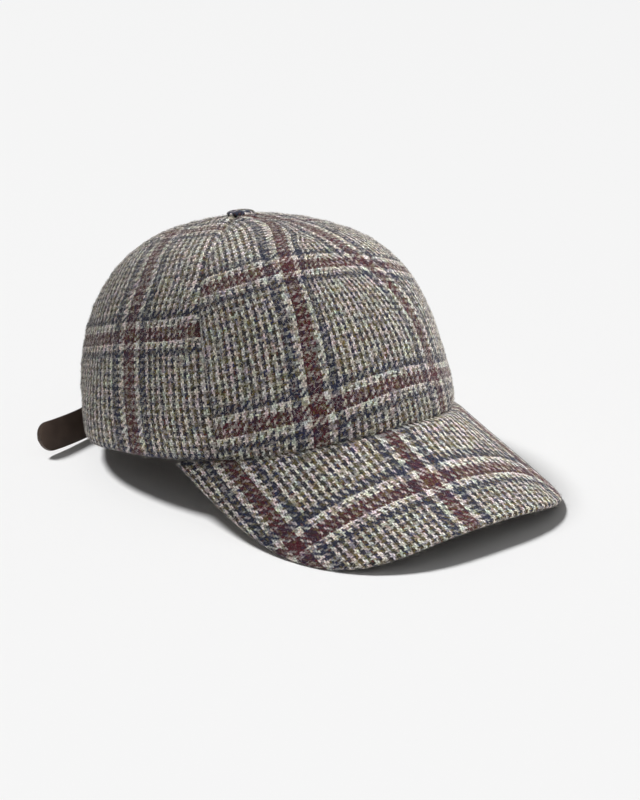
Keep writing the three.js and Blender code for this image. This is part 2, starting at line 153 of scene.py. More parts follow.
# A hair's section has three corners, at these angles in radians. Its root is corner 0, its tip 4.
HAIR_SECTION = (0.0, 2.1, 4.2)
HAIR_FACES = [(0, 2, 1), (0, 3, 2), (0, 1, 3), (4, 1, 2), (4, 2, 3), (4, 3, 1)]
HAIR_CORNERS = 5

# Where the check's maroon lines run over the front panel: as shares of the half width from the
# centre to the wearer's right, and as heights along the cloth above the rim, in millimetres.
# height along the cloth, share of the right line, share of the left line
UPRIGHT_LINES = np.array([
    (0.0, 0.43, -0.47),
    (17.0, 0.425, -0.38),
    (41.0, 0.405, -0.31),
    (60.0, 0.39, -0.215),
    (80.0, 0.385, -0.115),
    (96.0, 0.36, -0.08),
    (114.0, 0.29, -0.09),
    (140.0, 0.10, -0.14),
])
# share of the half width, height of the lower line, height of the upper line
FRONT_LINES = np.array([
    (-1.0, 16.5, 66.0),
    (-0.3, 21.2, 77.0),
    (0.0, 21.0, 83.0),
    (0.4, 18.2, 86.8),
    (0.7, 16.0, 83.0),
    (1.0, 12.5, 77.0),
])
# height along the cloth, threads left out between the two upright lines, where the crown draws in.
# Away from the upper line they are whole cycles of the ground's dark yarns, so that no join shows.
THREADS_LEFT_OUT = np.array([
    (75.0, 0),
    (92.0, 32),
    (102.0, 32),
    (112.0, 48),
])
# The same on the side panels: the level line's height at the front seam and its fall to the back.
SIDE_LINE_HEIGHT = 59.0
SIDE_LINE_FALL = 12.0
# A navy line follows the side panels' lower edge: its height, and its distance below the level line.
SIDE_HEM_LINE = 1.2
SIDE_HEM_LINE_BELOW = 60.8
# Behind their upright line the side panels' cloth is stretched by this share.
SIDE_STRETCH = 0.28
# height along the cloth, distance of the upright line behind the front seam
SIDE_LINE = np.array([
    (0.0, 45.0),
    (20.0, 46.0),
    (45.0, 44.5),
    (60.0, 43.0),
    (70.0, 39.5),
    (85.0, 36.0),
    (105.0, 37.0),
    (150.0, 40.0),
])
# On the back panels: the upright line's distance behind the side seam, and the level line's height.
BACK_LINE_BEHIND = 30.0
BACK_LINE_HEIGHT = 52.0
# Where the maroon lines run on the peak, across and forward of the crown's axis.
PEAK_LINE_ACROSS = -7.0
PEAK_LINE_FORWARD = 132.8
# Behind its level line the peak's cloth is stretched by this share.
PEAK_STRETCH = 0.22
# How the level line bows back on the wearer's right, in millimetres, and how far out that is.
PEAK_LINE_BOW = 7.7
PEAK_LINE_BOW_AT = 57.0
# Share by which the peak's threads draw together, at the front and towards the crown.
PEAK_CLOSING = (-0.03, 0.07)
PEAK_CLOSING_AT = (-150.0, -60.0)
# The peak's bend is measured this far to each side.
PEAK_BEND_TO = 100

# The check counted in threads: maroon, cream and navy bands, then a ground of light and dark pairs.
BAND_MAROON = 8
BAND_CREAM = 4
BAND_NAVY = 5
GROUND_THREADS = 54
REPEAT = BAND_MAROON + 2 * BAND_CREAM + 2 * BAND_NAVY + GROUND_THREADS
# A dark pair and a light pair of the ground, and the cycle of its four dark yarns.
PAIRS = 4
DARK_CYCLE = 16
# A yarn rises and sinks once in this many crossings.
TWILL_CROSSINGS = 4
# Threads added to a chart, so that none is below zero, and where the weft yarns' own numbers begin.
CHART_OFFSET = 10.0 * REPEAT
WEFT_NUMBERS_FROM = 5000

# The wool's finish. Fibres lie along a yarn: their lean, their length by their width, their scale.
FIBRE_LEAN = 0.35
FIBRE_DRAWN = 0.3
FIBRE_SCALE = 2.6
# Share of the floats of yarn that have a fleck of another wool.
FLECKED_FLOATS = 0.38
# Stray fibres: their number in a metre, and the noise above which the lower yarn's fibre shows.
STRAY_SCALE = 1500.0
STRAY_ABOVE = 0.585
# Patches in a metre in which the weft's light yarn is mixed.
MIXED_SCALE = 260.0
# Lightness of the yarns: its random swing from cloud to cloud, then painted shade between the yarns:
# the lightness left in their hollows, what their heights add, and the least lightness of all.
CLOUD_CONTRAST = 0.5
HOLLOW_LIGHT = 0.2
HEIGHT_LIGHT = 0.95
LEAST_LIGHT = 0.05
# The depth of the yarns' hollows below the middle height, as a share of a yarn's rise.
HOLLOW_DEPTH = 0.2
# The relief of the yarns: the fibres' share in it, and its depth in millimetres.
FIBRE_RELIEF = 0.35
YARN_RELIEF_DEPTH = 0.45
# Brushed hairs: the contrast of their haze, and the strength and the depth of their relief.
HAZE_CONTRAST = 1.6
HAIR_RELIEF = 0.3
HAIR_RELIEF_DEPTH = 0.3

# The button, in millimetres. It leans less than the crown, and its cover is cut beside the dark
# lines of the check.
BUTTON_RADIUS = 7.0
BUTTON_DOME = 2.1
BUTTON_UNDERSIDE = 0.5
BUTTON_RAISED = 0.4
BUTTON_GATHERS = 14
BUTTON_GATHER_DEPTH = 0.012
BUTTON_DENTS = 0.12
BUTTON_LEAN = math.radians(5.0)
BUTTON_CLOTH_FROM = (13.5, 13.5)

STRAP_WIDTH = 15.0
STRAP_THICKNESS = 1.6
STRAP_LEAN = math.radians(20)
# The leather's slow waver and the soft bulge of its face, and the mesh's cells.
STRAP_WAVER = 0.25
STRAP_WAVE = 34.0
STRAP_BULGE = 0.12
STRAP_CELL = 0.7
STRAP_CELLS_ACROSS = 10
# Least height of the strap's rounded end, squared, as a share of its half width.
STRAP_TIP_LEAST = 0.0004
TAB_WIDTH = 14.0
BUCKLE_CENTRE_X = -22.0
BUCKLE_LENGTH = 19.0
BUCKLE_HEIGHT = 18.8
BUCKLE_THICKNESS = 1.8
BUCKLE_RAIL = 1.5
BUCKLE_BAR = 2.2
BUCKLE_WEAVE = 2.15
WEAVE_SQUARENESS = 1.5
WEAVE_FADE = 8.0

# Radii of the pieces' edges, in millimetres.
CLOTH_ROUND = 0.45
LEATHER_ROUND = 0.42
BUCKLE_ROUND = 0.55

# The middle lines of the strap and of its tab, x, y and z in millimetres from the crown's axis.
STRAP_LINE = np.array([
    (60.0, 55.0, 9.9),
    (50.0, 65.4, 9.9),
    (40.0, 71.6, 9.9),
    (24.0, 77.4, 9.9),
    (0.0, 81.0, 9.9),
    (-22.0, 81.6, 9.9),
    (-42.0, 79.7, 9.3),
    (-53.0, 74.3, 8.6),
    (-64.4, 68.0, 8.2),
    (-81.0, 61.2, 8.6),
    (-96.8, 56.4, 9.2),
])
TAB_LINE = np.array([
    (-25.0, 76.6, 9.9),
    (-36.0, 73.2, 9.9),
    (-46.0, 67.4, 9.9),
    (-56.0, 58.6, 9.9),
])

# The camera, from the crown's axis on the floor, in millimetres, and its range of sight in metres.
CAMERA_AT = (-416.0, -573.9, 256.5)
CAMERA_LOOKS_AT = (16.0, -25.9, 28.2)
CAMERA_LENS = 66.7
CAMERA_SENSOR = 36.0
CAMERA_NEAR = 0.01
CAMERA_FAR = 60
# The stage: the floor's side in metres, the lights' powers, directions and spreads in degrees, and
# the softbox's distance and width in metres.
FLOOR_SIDE = 30
FLOOR_GREY = 0.9
OVERHEAD_POWER = 11.6
OVERHEAD_FROM = (0.48, 0.08, 1.0)
SOFTBOX_DISTANCE = 1.1
SOFTBOX_WIDTH = 0.75
FILL_STRENGTH = 0.92
FILL_FROM = (0.52, -0.88, 0.30)
FILL_SPREAD = 60
FLOOR_KEY_STRENGTH = 3.45
FLOOR_KEY_FROM = (-0.28, 0.75, 1.0)
FLOOR_KEY_SPREAD = 13
SKY_STRENGTH = 0.17
BACKDROP_STRENGTH = 0.92


def crown_top():
    """The middle of the crown's top row, from the crown's axis on the floor."""
    height = CROWN_ROWS[TOP_ROW, HEIGHT]
    return np.array([0.0, height * math.sin(CROWN_LEAN), height * math.cos(CROWN_LEAN) + CROWN_LIFT])


def axis_in_frame():
    """Where the crown's axis meets the floor, in the frame, in millimetres."""
    low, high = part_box("button")
    middle = (low + high) / 2 / MM
    return np.array([middle.x, middle.y - crown_top()[1], 0.0])


ORIGIN = axis_in_frame()


def unit(vectors):
    return vectors / np.linalg.norm(vectors, axis=-1, keepdims=True)


def length_of(points):
    """The length of lines through points, in millimetres."""
    return np.linalg.norm(np.diff(points, axis=-2), axis=-1).sum(-1)


def length_up_to(points):
    """The length of one line through points, up to each of them."""
    return np.concatenate([[0], np.cumsum(np.linalg.norm(np.diff(points, axis=0), axis=-1))])


def along(keys, values, at, flat_ends=False):
    """A smooth curve through a table's column, at values of its key column."""
    keys = np.asarray(keys, float)
    at = np.asarray(at, float)
    last = len(keys) - 1
    before = np.maximum(np.arange(last + 1) - 1, 0)
    after = np.minimum(np.arange(last + 1) + 1, last)
    slopes = (values[after] - values[before]) / (keys[after] - keys[before])
    if flat_ends:
        slopes[[0, last]] = 0
    i = np.clip(np.searchsorted(keys, at, "left") - 1, 0, last - 1)
    span = keys[i + 1] - keys[i]
    s = (at - keys[i]) / span
    start = (1 + 2 * s) * (1 - s) ** 2 * values[i]
    end = s * s * (3 - 2 * s) * values[i + 1]
    return start + end + s * (1 - s) ** 2 * span * slopes[i] + s * s * (s - 1) * span * slopes[i + 1]


def groove(depth, reach, distance):
    return depth * np.maximum(0, 1 - distance / reach) ** 2


def soft_noise(points, seed, size):
    """Smooth bumps between -1 and 1 over points, from seeded waves about size millimetres long."""
    draw = np.random.default_rng(seed)
    total = np.zeros(points.shape[:-1])
    for _ in range(9):
        direction = draw.normal(size=3)
        direction *= 2 * math.pi / (size * draw.uniform(0.7, 1.6)) / np.linalg.norm(direction)
        total += np.sin(points @ direction + draw.uniform(0, 2 * math.pi))
    return total / 4


def row_value(column, row):
    return along(np.arange(TOP_ROW + 1), CROWN_ROWS[:, column], row)


def rim_value(column, azimuth):
    return along(RIM_EDGE[:, 0], RIM_EDGE[:, column], np.abs(azimuth), flat_ends=True)


def front_seam(row):
    return row_value(FRONT_SEAM, row)


def side_seam(row):
    return row_value(SIDE_SEAM, row)


def back_seam(row):
    return np.asarray(row, float) * 0 + 180.0


def on_left(seam):
    """The same seam on the wearer's left."""
    return lambda row: -seam(row)


def crown_point(azimuth, row):
    """The crown's outer face, in millimetres from its axis on the floor."""
    azimuth, row = np.broadcast_arrays(np.asarray(azimuth, float), np.asarray(row, float))
    turn = np.radians(azimuth)
    lengthwise = np.where(np.cos(turn) > 0, row_value(FRONT, row), row_value(BACK, row))
    radius = 1 / np.hypot(np.cos(turn) / lengthwise, np.sin(turn) / row_value(SIDE, row))
    wave = rim_value(RIM_LIFT, azimuth) * np.maximum(0, 1 - row / RIM_WAVE_ROWS) ** 3
    x = -radius * np.sin(turn)
    y = -radius * np.cos(turn)
    z = row_value(HEIGHT, row) + wave
    c, s = math.cos(CROWN_LEAN), math.sin(CROWN_LEAN)
    return np.stack([x, y * c + z * s, z * c - y * s + CROWN_LIFT], -1)


def crown_normal(azimuth, row):
    around = crown_point(azimuth - AZIMUTH_STEP, row) - crown_point(azimuth + AZIMUTH_STEP, row)
    above = crown_point(azimuth, np.minimum(row + ROW_STEP, TOP_ROW))
    below = crown_point(azimuth, np.maximum(row - ROW_STEP, 0))
    return unit(np.cross(around, above - below))


def meridian(azimuth, row):
    """The length along the cloth from row 0 up to a row, in millimetres."""
    shares = np.linspace(0, 1, MERIDIAN_POINTS)
    return length_of(crown_point(azimuth[..., None], row[..., None] * shares))


def ring_length(row, start, end):
    """The length round the crown at a row, from one azimuth to another, in millimetres."""
    shares = np.linspace(0, 1, RING_POINTS)
    return length_of(crown_point(start[..., None] + (end - start)[..., None] * shares, row[..., None]))


def arch_row(azimuth):
    """The crown row at which the arched opening ends above an azimuth."""
    off_back = (180 - np.abs(azimuth)) / ARCH_HALF_ANGLE
    return ARCH_TOP_ROW * np.sqrt(np.maximum(0, 1 - off_back * off_back))


def deselect():
    if bpy.context.object and bpy.context.object.mode != "OBJECT":
        bpy.ops.object.mode_set(mode="OBJECT")
    bpy.ops.object.select_all(action="DESELECT")


def vertices_of(mesh):
    flat = np.empty(len(mesh.vertices) * 3)
    mesh.vertices.foreach_get("co", flat)
    return flat.reshape(-1, 3)


def move_vertices(mesh, points):
    mesh.vertices.foreach_set("co", points.ravel())
    mesh.update()


def lay_cloth(mesh, chart):
    """Writes each vertex's millimetres along the cloth's two threads to the UV map, in metres.

    A chart that leaves cloth out has two more columns: the distance past the join, and the width of
    the cloth that is left out there.
    """
    vertices = np.empty(len(mesh.loops), int)
    mesh.loops.foreach_get("vertex_index", vertices)
    corners = chart[vertices]
    if chart.shape[1] == 4:
        faces = corners.reshape(-1, 4, 4)
        before_join = faces[:, :, 2].mean(-1) < 0
        faces[before_join, :, 0] -= faces[before_join, :, 3]
    mesh.uv_layers[0].data.foreach_set("uv", (corners[:, :2] * MM).ravel())
    mesh.update()


def sheet_grid(name, columns, rows, place, chart=None):
    """A grid of that many cells whose vertices are put in place by a function of two shares, 0 to 1.

    place gives millimetres from the crown's axis, and chart what lay_cloth takes.
    """
    deselect()
    bpy.ops.mesh.primitive_grid_add(x_subdivisions=columns, y_subdivisions=rows, size=1)
    obj = bpy.context.object
    obj.name = name
    obj.data.name = name
    across, upward = vertices_of(obj.data)[:, :2].T + 0.5
    move_vertices(obj.data, (place(across, upward) + ORIGIN) * MM)
    if chart:
        lay_cloth(obj.data, chart(across, upward))
    return obj


def apply_modifier(obj, kind, **settings):
    bpy.context.view_layer.objects.active = obj
    modifier = obj.modifiers.new(kind.title(), kind)
    for key, value in settings.items():
        setattr(modifier, key, value)
    bpy.ops.object.modifier_apply(modifier=modifier.name)


def round_edges(obj, radius, segments, over):
    """Rounds the edges that turn by more than so many degrees."""
    limit = {"limit_method": "ANGLE", "angle_limit": math.radians(over)}
    apply_modifier(obj, "BEVEL", width=radius * MM, segments=segments, **limit)


def keep_above_floor(mesh):
    points = vertices_of(mesh)
    points[:, 2] = np.maximum(points[:, 2], 0)
    move_vertices(mesh, points)


def settle(obj, material, slot, *nodes, smooth=50):
    """Gives a finished piece its material, shading and body."""
    keep_above_floor(obj.data)
    obj.data.materials.clear()
    obj.data.materials.append(material)
    deselect()
    obj.select_set(True)
    bpy.context.view_layer.objects.active = obj
    bpy.ops.object.shade_smooth_by_angle(angle=math.radians(smooth))
    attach(obj, "root")
    if nodes:
        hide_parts(*nodes)
    return obj


def nap(name, cloth, density, seed):
    """Loose hairs on a cloth's outer face: thin bent spindles, that many to a square millimetre."""
    mesh = cloth.data
    mesh.calc_loop_triangles()
    corners = np.empty(len(mesh.loop_triangles) * 3, int)
    mesh.loop_triangles.foreach_get("vertices", corners)
    triangles = (vertices_of(mesh) / MM)[corners.reshape(-1, 3)]
    crosses = np.cross(triangles[:, 1] - triangles[:, 0], triangles[:, 2] - triangles[:, 0])
    areas = np.linalg.norm(crosses, axis=-1) / 2
    draw = np.random.default_rng(seed)
    count = int(areas.sum() * density)
    chosen = draw.choice(len(areas), count, p=areas / areas.sum())
    first, second = draw.random((2, count, 1))
    flip = first + second > 1
    first, second = np.where(flip, 1 - first, first), np.where(flip, 1 - second, second)
    corner = triangles[chosen]
    root = corner[:, 0] + first * (corner[:, 1] - corner[:, 0]) + second * (corner[:, 2] - corner[:, 0])
    out = crosses[chosen] / (2 * areas[chosen, None])
    lying = unit(np.cross(out, draw.normal(size=(count, 3))))
    sideways = np.cross(out, lying)

    length = draw.uniform(*HAIR_LENGTH, (count, 1))
    bend = draw.normal(0, HAIR_BEND, (count, 1))
    thin = draw.uniform(*HAIR_THICKNESS, (count, 1))
    middle = root + lying * length * HAIR_TO_MIDDLE + out * draw.uniform(*HAIR_STAND, (count, 1))
    tip = middle + lying * length * HAIR_TO_TIP + sideways * bend * length
    tip = tip + out * draw.uniform(*HAIR_TIP_RISE, (count, 1))
    section = [middle + (out * math.cos(a) + sideways * math.sin(a)) * thin for a in HAIR_SECTION]
    points = np.stack([root - out * HAIR_ROOT, *section, tip], 1).reshape(-1, 3) * MM
    faces = (np.arange(count)[:, None, None] * HAIR_CORNERS + np.array(HAIR_FACES)).reshape(-1, 3)
    hairs = bpy.data.meshes.new(name)
    hairs.from_pydata(points.tolist(), [], faces.tolist())
    obj = bpy.data.objects.new(name, hairs)
    bpy.context.collection.objects.link(obj)
    return settle(obj, loose_hair(), "wool_check", smooth=0)


class Nodes:
    """A short way to write a material's nodes."""

    def __init__(self, name):
        self.material = bpy.data.materials.new(name)
        self.material.use_nodes = True
        self.tree = self.material.node_tree
        self.tree.nodes.clear()
        self.output = self.node("ShaderNodeOutputMaterial")

    def node(self, kind, **settings):
        made = self.tree.nodes.new(kind)
        for key, value in settings.items():
            setattr(made, key, value)
        return made

    def give(self, value, socket):
        if isinstance(value, bpy.types.NodeSocket):
            self.tree.links.new(value, socket)
        elif socket.type == "RGBA":
            socket.default_value = (*value[:3], 1)
        else:
            socket.default_value = value

    def math(self, operation, *values):
        made = self.node("ShaderNodeMath", operation=operation)
        for value, socket in zip(values, made.inputs):
            self.give(value, socket)
        return made.outputs[0]

    def swing(self, noise, contrast, middle):
        """A value that swings round a middle as a noise between 0 and 1 does."""
        return self.math("MULTIPLY_ADD", self.math("SUBTRACT", noise, 0.5), contrast, middle)

    def wave(self, cycles, angle):
        """The sine of an angle that each cycle runs through."""
        return self.math("SINE", self.math("MULTIPLY", self.math("FRACT", cycles), angle))

    def mix(self, share, first, second, blend="MIX"):
        made = self.node("ShaderNodeMix", data_type="RGBA", blend_type=blend)
        for value, number in ((share, 0), (first, 6), (second, 7)):
            self.give(value, made.inputs[number])
        return made.outputs[2]

    def choose(self, share, first, second):
        made = self.node("ShaderNodeMix", data_type="FLOAT")
        for value, number in ((share, 0), (first, 2), (second, 3)):
            self.give(value, made.inputs[number])
        return made.outputs[0]

    def ramp(self, share, stops, interpolation="LINEAR"):
        made = self.node("ShaderNodeValToRGB")
        ramp = made.color_ramp
        ramp.interpolation = interpolation
        while len(ramp.elements) > 1:
            ramp.elements.remove(ramp.elements[-1])
        ramp.elements[0].position = stops[0][0]
        ramp.elements[0].color = (*stops[0][1], 1)
        for position, colour in stops[1:]:
            ramp.elements.new(position).color = (*colour, 1)
        self.give(share, made.inputs[0])
        return made.outputs[0]

    def steps(self, share, stops):
        return self.ramp(share, stops, "CONSTANT")

    def vector(self, x, y, z=0.0):
        made = self.node("ShaderNodeCombineXYZ")
        for value, socket in zip((x, y, z), made.inputs):
            self.give(value, socket)
        return made.outputs[0]

    def noise(self, vector, scale, detail=2.0, roughness=0.5, output=0):
        made = self.node("ShaderNodeTexNoise")
        self.give(vector, made.inputs["Vector"])
        made.inputs["Scale"].default_value = scale
        made.inputs["Detail"].default_value = detail
        made.inputs["Roughness"].default_value = roughness
        return made.outputs[output]

    def tint_noise(self, vector, scale):
        """A noise whose three channels differ."""
        return self.noise(vector, scale, detail=2.0, roughness=0.6, output=1)

    def bump(self, height, strength, depth, normal=None):
        """A relief of so many millimetres."""
        made = self.node("ShaderNodeBump")
        made.inputs["Strength"].default_value = strength
        made.inputs["Distance"].default_value = depth * MM
        self.give(height, made.inputs["Height"])
        if normal:
            self.give(normal, made.inputs["Normal"])
        return made.outputs[0]

    def surface(self, **sockets):
        shader = self.node("ShaderNodeBsdfPrincipled")
        for key, value in sockets.items():
            self.give(value, shader.inputs[key.replace("_", " ")])
        self.tree.links.new(shader.outputs[0], self.output.inputs[0])
        return self.material


def thread_numbers(n, wool, place):
    """Threads counted across and up the cloth, which stray a little from their lines."""
    cloth = n.node("ShaderNodeSeparateXYZ")
    n.give(place.outputs["UV"], cloth.inputs[0])
    stray = n.node("ShaderNodeSeparateXYZ")
    n.give(n.tint_noise(place.outputs["Object"], wool.sway_scale), stray.inputs[0])
    numbers = []
    for axis in (0, 1):
        straight = n.math("ADD", n.math("DIVIDE", cloth.outputs[axis], wool.thread * MM), CHART_OFFSET)
        numbers.append(n.swing(stray.outputs[axis], wool.sway, straight))
    return numbers


def from_band(n, thread):
    """How many threads lie between a thread and the middle of the nearest maroon band."""
    turned = n.math("MODULO", n.math("ADD", thread, 0.5 + REPEAT / 2), REPEAT)
    return n.math("ABSOLUTE", n.math("SUBTRACT", turned, REPEAT / 2))


def thread_colour(n, wool, thread, distance, light_yarn):
    """The colour of one thread, by its number and its distance from a maroon band."""
    maroon_ends = BAND_MAROON / 2
    cream_ends = maroon_ends + BAND_CREAM
    navy_ends = cream_ends + BAND_NAVY
    bands = n.steps(n.math("DIVIDE", distance, REPEAT), [
        (0.0, wool.maroon),
        (maroon_ends / REPEAT, wool.cream),
        (cream_ends / REPEAT, wool.navy),
    ])
    pairs = n.math("SUBTRACT", thread, navy_ends - 0.5)
    dark = n.steps(n.math("FRACT", n.math("DIVIDE", pairs, DARK_CYCLE)), [
        (0.0, wool.charcoal),
        (0.25, wool.olive),
        (0.5, wool.ink),
        (0.75, wool.brown),
    ])
    light = n.math("LESS_THAN", n.math("FRACT", n.math("DIVIDE", pairs, PAIRS)), 0.5)
    in_ground = n.math("GREATER_THAN", distance, navy_ends)
    return n.mix(in_ground, bands, n.mix(light, dark, light_yarn))


def fibres(n, along_yarn, across_yarn, upright):
    """The lightness of fibres that are drawn out along a yarn and lean over it."""
    leaning = n.math("MULTIPLY_ADD", along_yarn, -FIBRE_LEAN, across_yarn)
    drawn = n.math("MULTIPLY", along_yarn, FIBRE_DRAWN)
    place = n.vector(leaning, drawn) if upright else n.vector(drawn, leaning)
    return n.noise(place, FIBRE_SCALE, detail=3.0, roughness=0.65)


def flecked(n, wool, colour, chance):
    """A yarn's colour, with another wool on some of its floats."""
    flecks = n.steps(chance, [
        (0.0, wool.fleck_blue),
        (0.08, wool.fleck_mustard),
        (0.20, wool.fleck_rust),
        (0.25, wool.charcoal),
        (0.31, wool.cream),
    ])
    share = n.math("MULTIPLY", n.math("LESS_THAN", chance, FLECKED_FLOATS), wool.flecks)
    return n.mix(share, colour, flecks)


def spread_bands(n, wool, colour, distances):
    """Navy and maroon fibres spread over the other yarns of their own bands."""
    navy_middle = BAND_MAROON / 2 + BAND_CREAM + BAND_NAVY / 2
    off_navy = [n.math("ABSOLUTE", n.math("SUBTRACT", distance, navy_middle)) for distance in distances]
    in_navy = n.math("LESS_THAN", n.math("MINIMUM", *off_navy), BAND_NAVY / 2)
    in_maroon = n.math("LESS_THAN", n.math("MINIMUM", *distances), BAND_MAROON / 2)
    colour = n.mix(n.math("MULTIPLY", in_navy, wool.navy_spread), colour, wool.navy)
    return n.mix(n.math("MULTIPLY", in_maroon, wool.maroon_spread), colour, wool.maroon)


def patched(n, wool, colour, place):
    """Patches of cloth whose wools are mixed to slightly different tints."""
    tint = n.node("ShaderNodeVectorMath", operation="MULTIPLY_ADD")
    n.give(n.tint_noise(place, wool.patch_scale), tint.inputs[0])
    tint.inputs[1].default_value = [wool.patches] * 3
    tint.inputs[2].default_value = [1 - wool.patches / 2] * 3
    return n.mix(1.0, colour, tint.outputs[0], "MULTIPLY")


def lit_yarns(n, wool, colour, place, fibre, chance, relief):
    """Yarns lighter and darker at random by fibre, float and cloud, with painted shade in their hollows.
    """
    cloud = n.noise(place, wool.cloud_scale, detail=3.0, roughness=0.6)
    lightness = n.swing(fibre, wool.fibre_contrast, 1.0)
    lightness = n.math("MULTIPLY", lightness, n.swing(chance, wool.yarn_contrast, 1.0))
    lightness = n.math("MULTIPLY", lightness, n.swing(cloud, CLOUD_CONTRAST, 1.0))
    # Painted shade: the yarns darker in their hollows and lighter on their tops, by their height.
    painted_hollow_shade = n.math("MULTIPLY_ADD", relief, HEIGHT_LIGHT, HOLLOW_LIGHT)
    lightness = n.math("MAXIMUM", n.math("MULTIPLY", lightness, painted_hollow_shade), LEAST_LIGHT)
    return n.mix(1.0, colour, n.vector(lightness, lightness, lightness), "MULTIPLY")


def wool_material():
    """Checked wool: a two and two twill of thick numbered yarns, heathered and brushed."""
    n = Nodes("checked_wool")
    wool = bpy.context.scene.cap_wool
    coordinates = n.node("ShaderNodeTexCoord")
    place = coordinates.outputs["Object"]
    across, upward = thread_numbers(n, wool, coordinates)
    warp = n.math("FLOOR", across)
    weft = n.math("FLOOR", upward)

    # Each yarn rises and sinks once in four crossings, and the higher one shows.
    warp_cycle = n.math("DIVIDE", n.math("ADD", warp, upward), TWILL_CROSSINGS)
    weft_cycle = n.math("DIVIDE", n.math("ADD", weft, across), TWILL_CROSSINGS)
    warp_rise = n.wave(warp_cycle, 2 * math.pi)
    weft_rise = n.wave(weft_cycle, -2 * math.pi)
    warp_height = n.math("MULTIPLY_ADD", n.wave(across, math.pi), wool.roundness, warp_rise)
    weft_height = n.math("MULTIPLY_ADD", n.wave(upward, math.pi), wool.roundness, weft_rise)
    fray = n.noise(place, wool.fray_scale, detail=3.0, roughness=0.7)
    warp_height = n.math("ADD", warp_height, n.swing(fray, wool.fray, wool.warp_lead))
    warp_over = n.math("GREATER_THAN", warp_height, weft_height)
    height = n.math("ADD", n.math("MAXIMUM", warp_height, weft_height), HOLLOW_DEPTH)
    relief = n.math("DIVIDE", height, 1 + HOLLOW_DEPTH + wool.roundness)

    # Every float of yarn has its own chance and fibres.
    float_number = n.choose(warp_over, n.math("FLOOR", weft_cycle), n.math("FLOOR", warp_cycle))
    weft_number = n.math("ADD", weft, WEFT_NUMBERS_FROM + 0.5)
    yarn_number = n.choose(warp_over, weft_number, n.math("ADD", warp, 0.5))
    chances = n.node("ShaderNodeTexWhiteNoise", noise_dimensions="2D")
    n.give(n.vector(yarn_number, n.math("ADD", float_number, 0.5)), chances.inputs["Vector"])
    chance = chances.outputs["Value"]
    weft_fibre = fibres(n, across, upward, upright=False)
    fibre = n.choose(warp_over, weft_fibre, fibres(n, upward, across, upright=True))

    # The yarn above shows, with stray fibres of the one below.
    distances = [from_band(n, warp), from_band(n, weft)]
    mixed_light = n.mix(n.noise(place, MIXED_SCALE), wool.cream, wool.oatmeal)
    warp_colour = thread_colour(n, wool, warp, distances[0], wool.cream)
    weft_colour = thread_colour(n, wool, weft, distances[1], mixed_light)
    colour = flecked(n, wool, n.mix(warp_over, weft_colour, warp_colour), chance)
    strays = n.math("GREATER_THAN", n.noise(place, STRAY_SCALE, detail=3.0, roughness=0.7), STRAY_ABOVE)
    below = n.mix(warp_over, warp_colour, weft_colour)
    colour = n.mix(n.math("MULTIPLY", strays, wool.strays), colour, below)
    colour = patched(n, wool, spread_bands(n, wool, colour, distances), place)
    # Random lightness by fibre, float and cloud, and painted shade in the yarns' hollows.
    colour = lit_yarns(n, wool, colour, place, fibre, chance, relief)

    # Loose hairs brushed over the weave soften its joins.
    hairs = n.noise(place, wool.hair_scale, detail=4.0, roughness=0.75)
    haze = n.math("MULTIPLY", n.math("SUBTRACT", hairs, 0.5), HAZE_CONTRAST)
    haze = n.math("MINIMUM", n.math("MAXIMUM", haze, 0.0), wool.haze)
    yarns = n.math("ADD", relief, n.math("MULTIPLY", fibre, FIBRE_RELIEF))
    normal = n.bump(yarns, wool.relief, YARN_RELIEF_DEPTH)
    return n.surface(
        Base_Color=n.mix(haze, colour, wool.oatmeal),
        Normal=n.bump(hairs, HAIR_RELIEF, HAIR_RELIEF_DEPTH, normal),
        Roughness=0.95,
        Specular_IOR_Level=0.12,
        Sheen_Weight=0.2,
        Sheen_Roughness=0.45,
        Sheen_Tint=(0.8, 0.79, 0.78),
    )


def hair_material():
    """Loose hairs of the light and the dark wools."""
    n = Nodes("loose_hair")
    wool = bpy.context.scene.cap_wool
    place = n.node("ShaderNodeTexCoord").outputs["Object"]
    colour = n.steps(n.noise(place, 420.0, detail=1.0), [
        (0.0, wool.navy),
        (0.40, wool.oatmeal),
        (0.48, wool.cream),
        (0.62, wool.oatmeal),
    ])
    return n.surface(Base_Color=colour, Roughness=0.8, Specular_IOR_Level=0.2)


def leather_material():
    """Smooth dark leather with a fine grain, a little gloss and rubbed places."""
    n = Nodes("dark_leather")
    leather = bpy.context.scene.cap_leather
    place = n.node("ShaderNodeTexCoord").outputs["Object"]
    colour = n.ramp(n.noise(place, 90.0, detail=3.0), [
        (0.3, leather.dark),
        (0.62, leather.base),
        (0.8, leather.rubbed),
    ])
    grain = n.node("ShaderNodeTexVoronoi", feature="DISTANCE_TO_EDGE")
    n.give(place, grain.inputs["Vector"])
    grain.inputs["Scale"].default_value = 2600.0
    pores = n.ramp(grain.outputs[0], [(0.0, (0, 0, 0)), (0.18, (1, 1, 1))])
    gloss = n.math("MULTIPLY_ADD", n.noise(place, 400.0), 0.18, leather.roughness - 0.09)
    normal = n.bump(pores, 0.18, 0.12)
    normal = n.bump(n.noise(place, 700.0, detail=3.0), 0.25, 0.15, normal)
    return n.surface(Base_Color=colour, Roughness=gloss, Normal=normal, Specular_IOR_Level=0.45)


def brass_material():
    """Satin brass with fine rubbing marks and a little tarnish."""
    n = Nodes("satin_brass")
    place = n.node("ShaderNodeTexCoord").outputs["Object"]
    tarnish = n.noise(place, 320.0, detail=4.0)
    colour = n.ramp(tarnish, [(0.35, (0.30, 0.21, 0.09)), (0.7, (0.56, 0.42, 0.2))])
    gloss = n.math("MULTIPLY_ADD", n.noise(place, 900.0, detail=3.0), 0.2, 0.22)
    normal = n.bump(n.noise(place, 3000.0), 0.12, 0.05)
    return n.surface(Base_Color=colour, Metallic=1.0, Roughness=gloss, Normal=normal)


def made_material(name, make):
    """A material by name, made when it is first asked for."""
    return bpy.data.materials.get(name) or make()


def checked_wool():
    return made_material("checked_wool", wool_material)


def loose_hair():
    return made_material("loose_hair", hair_material)


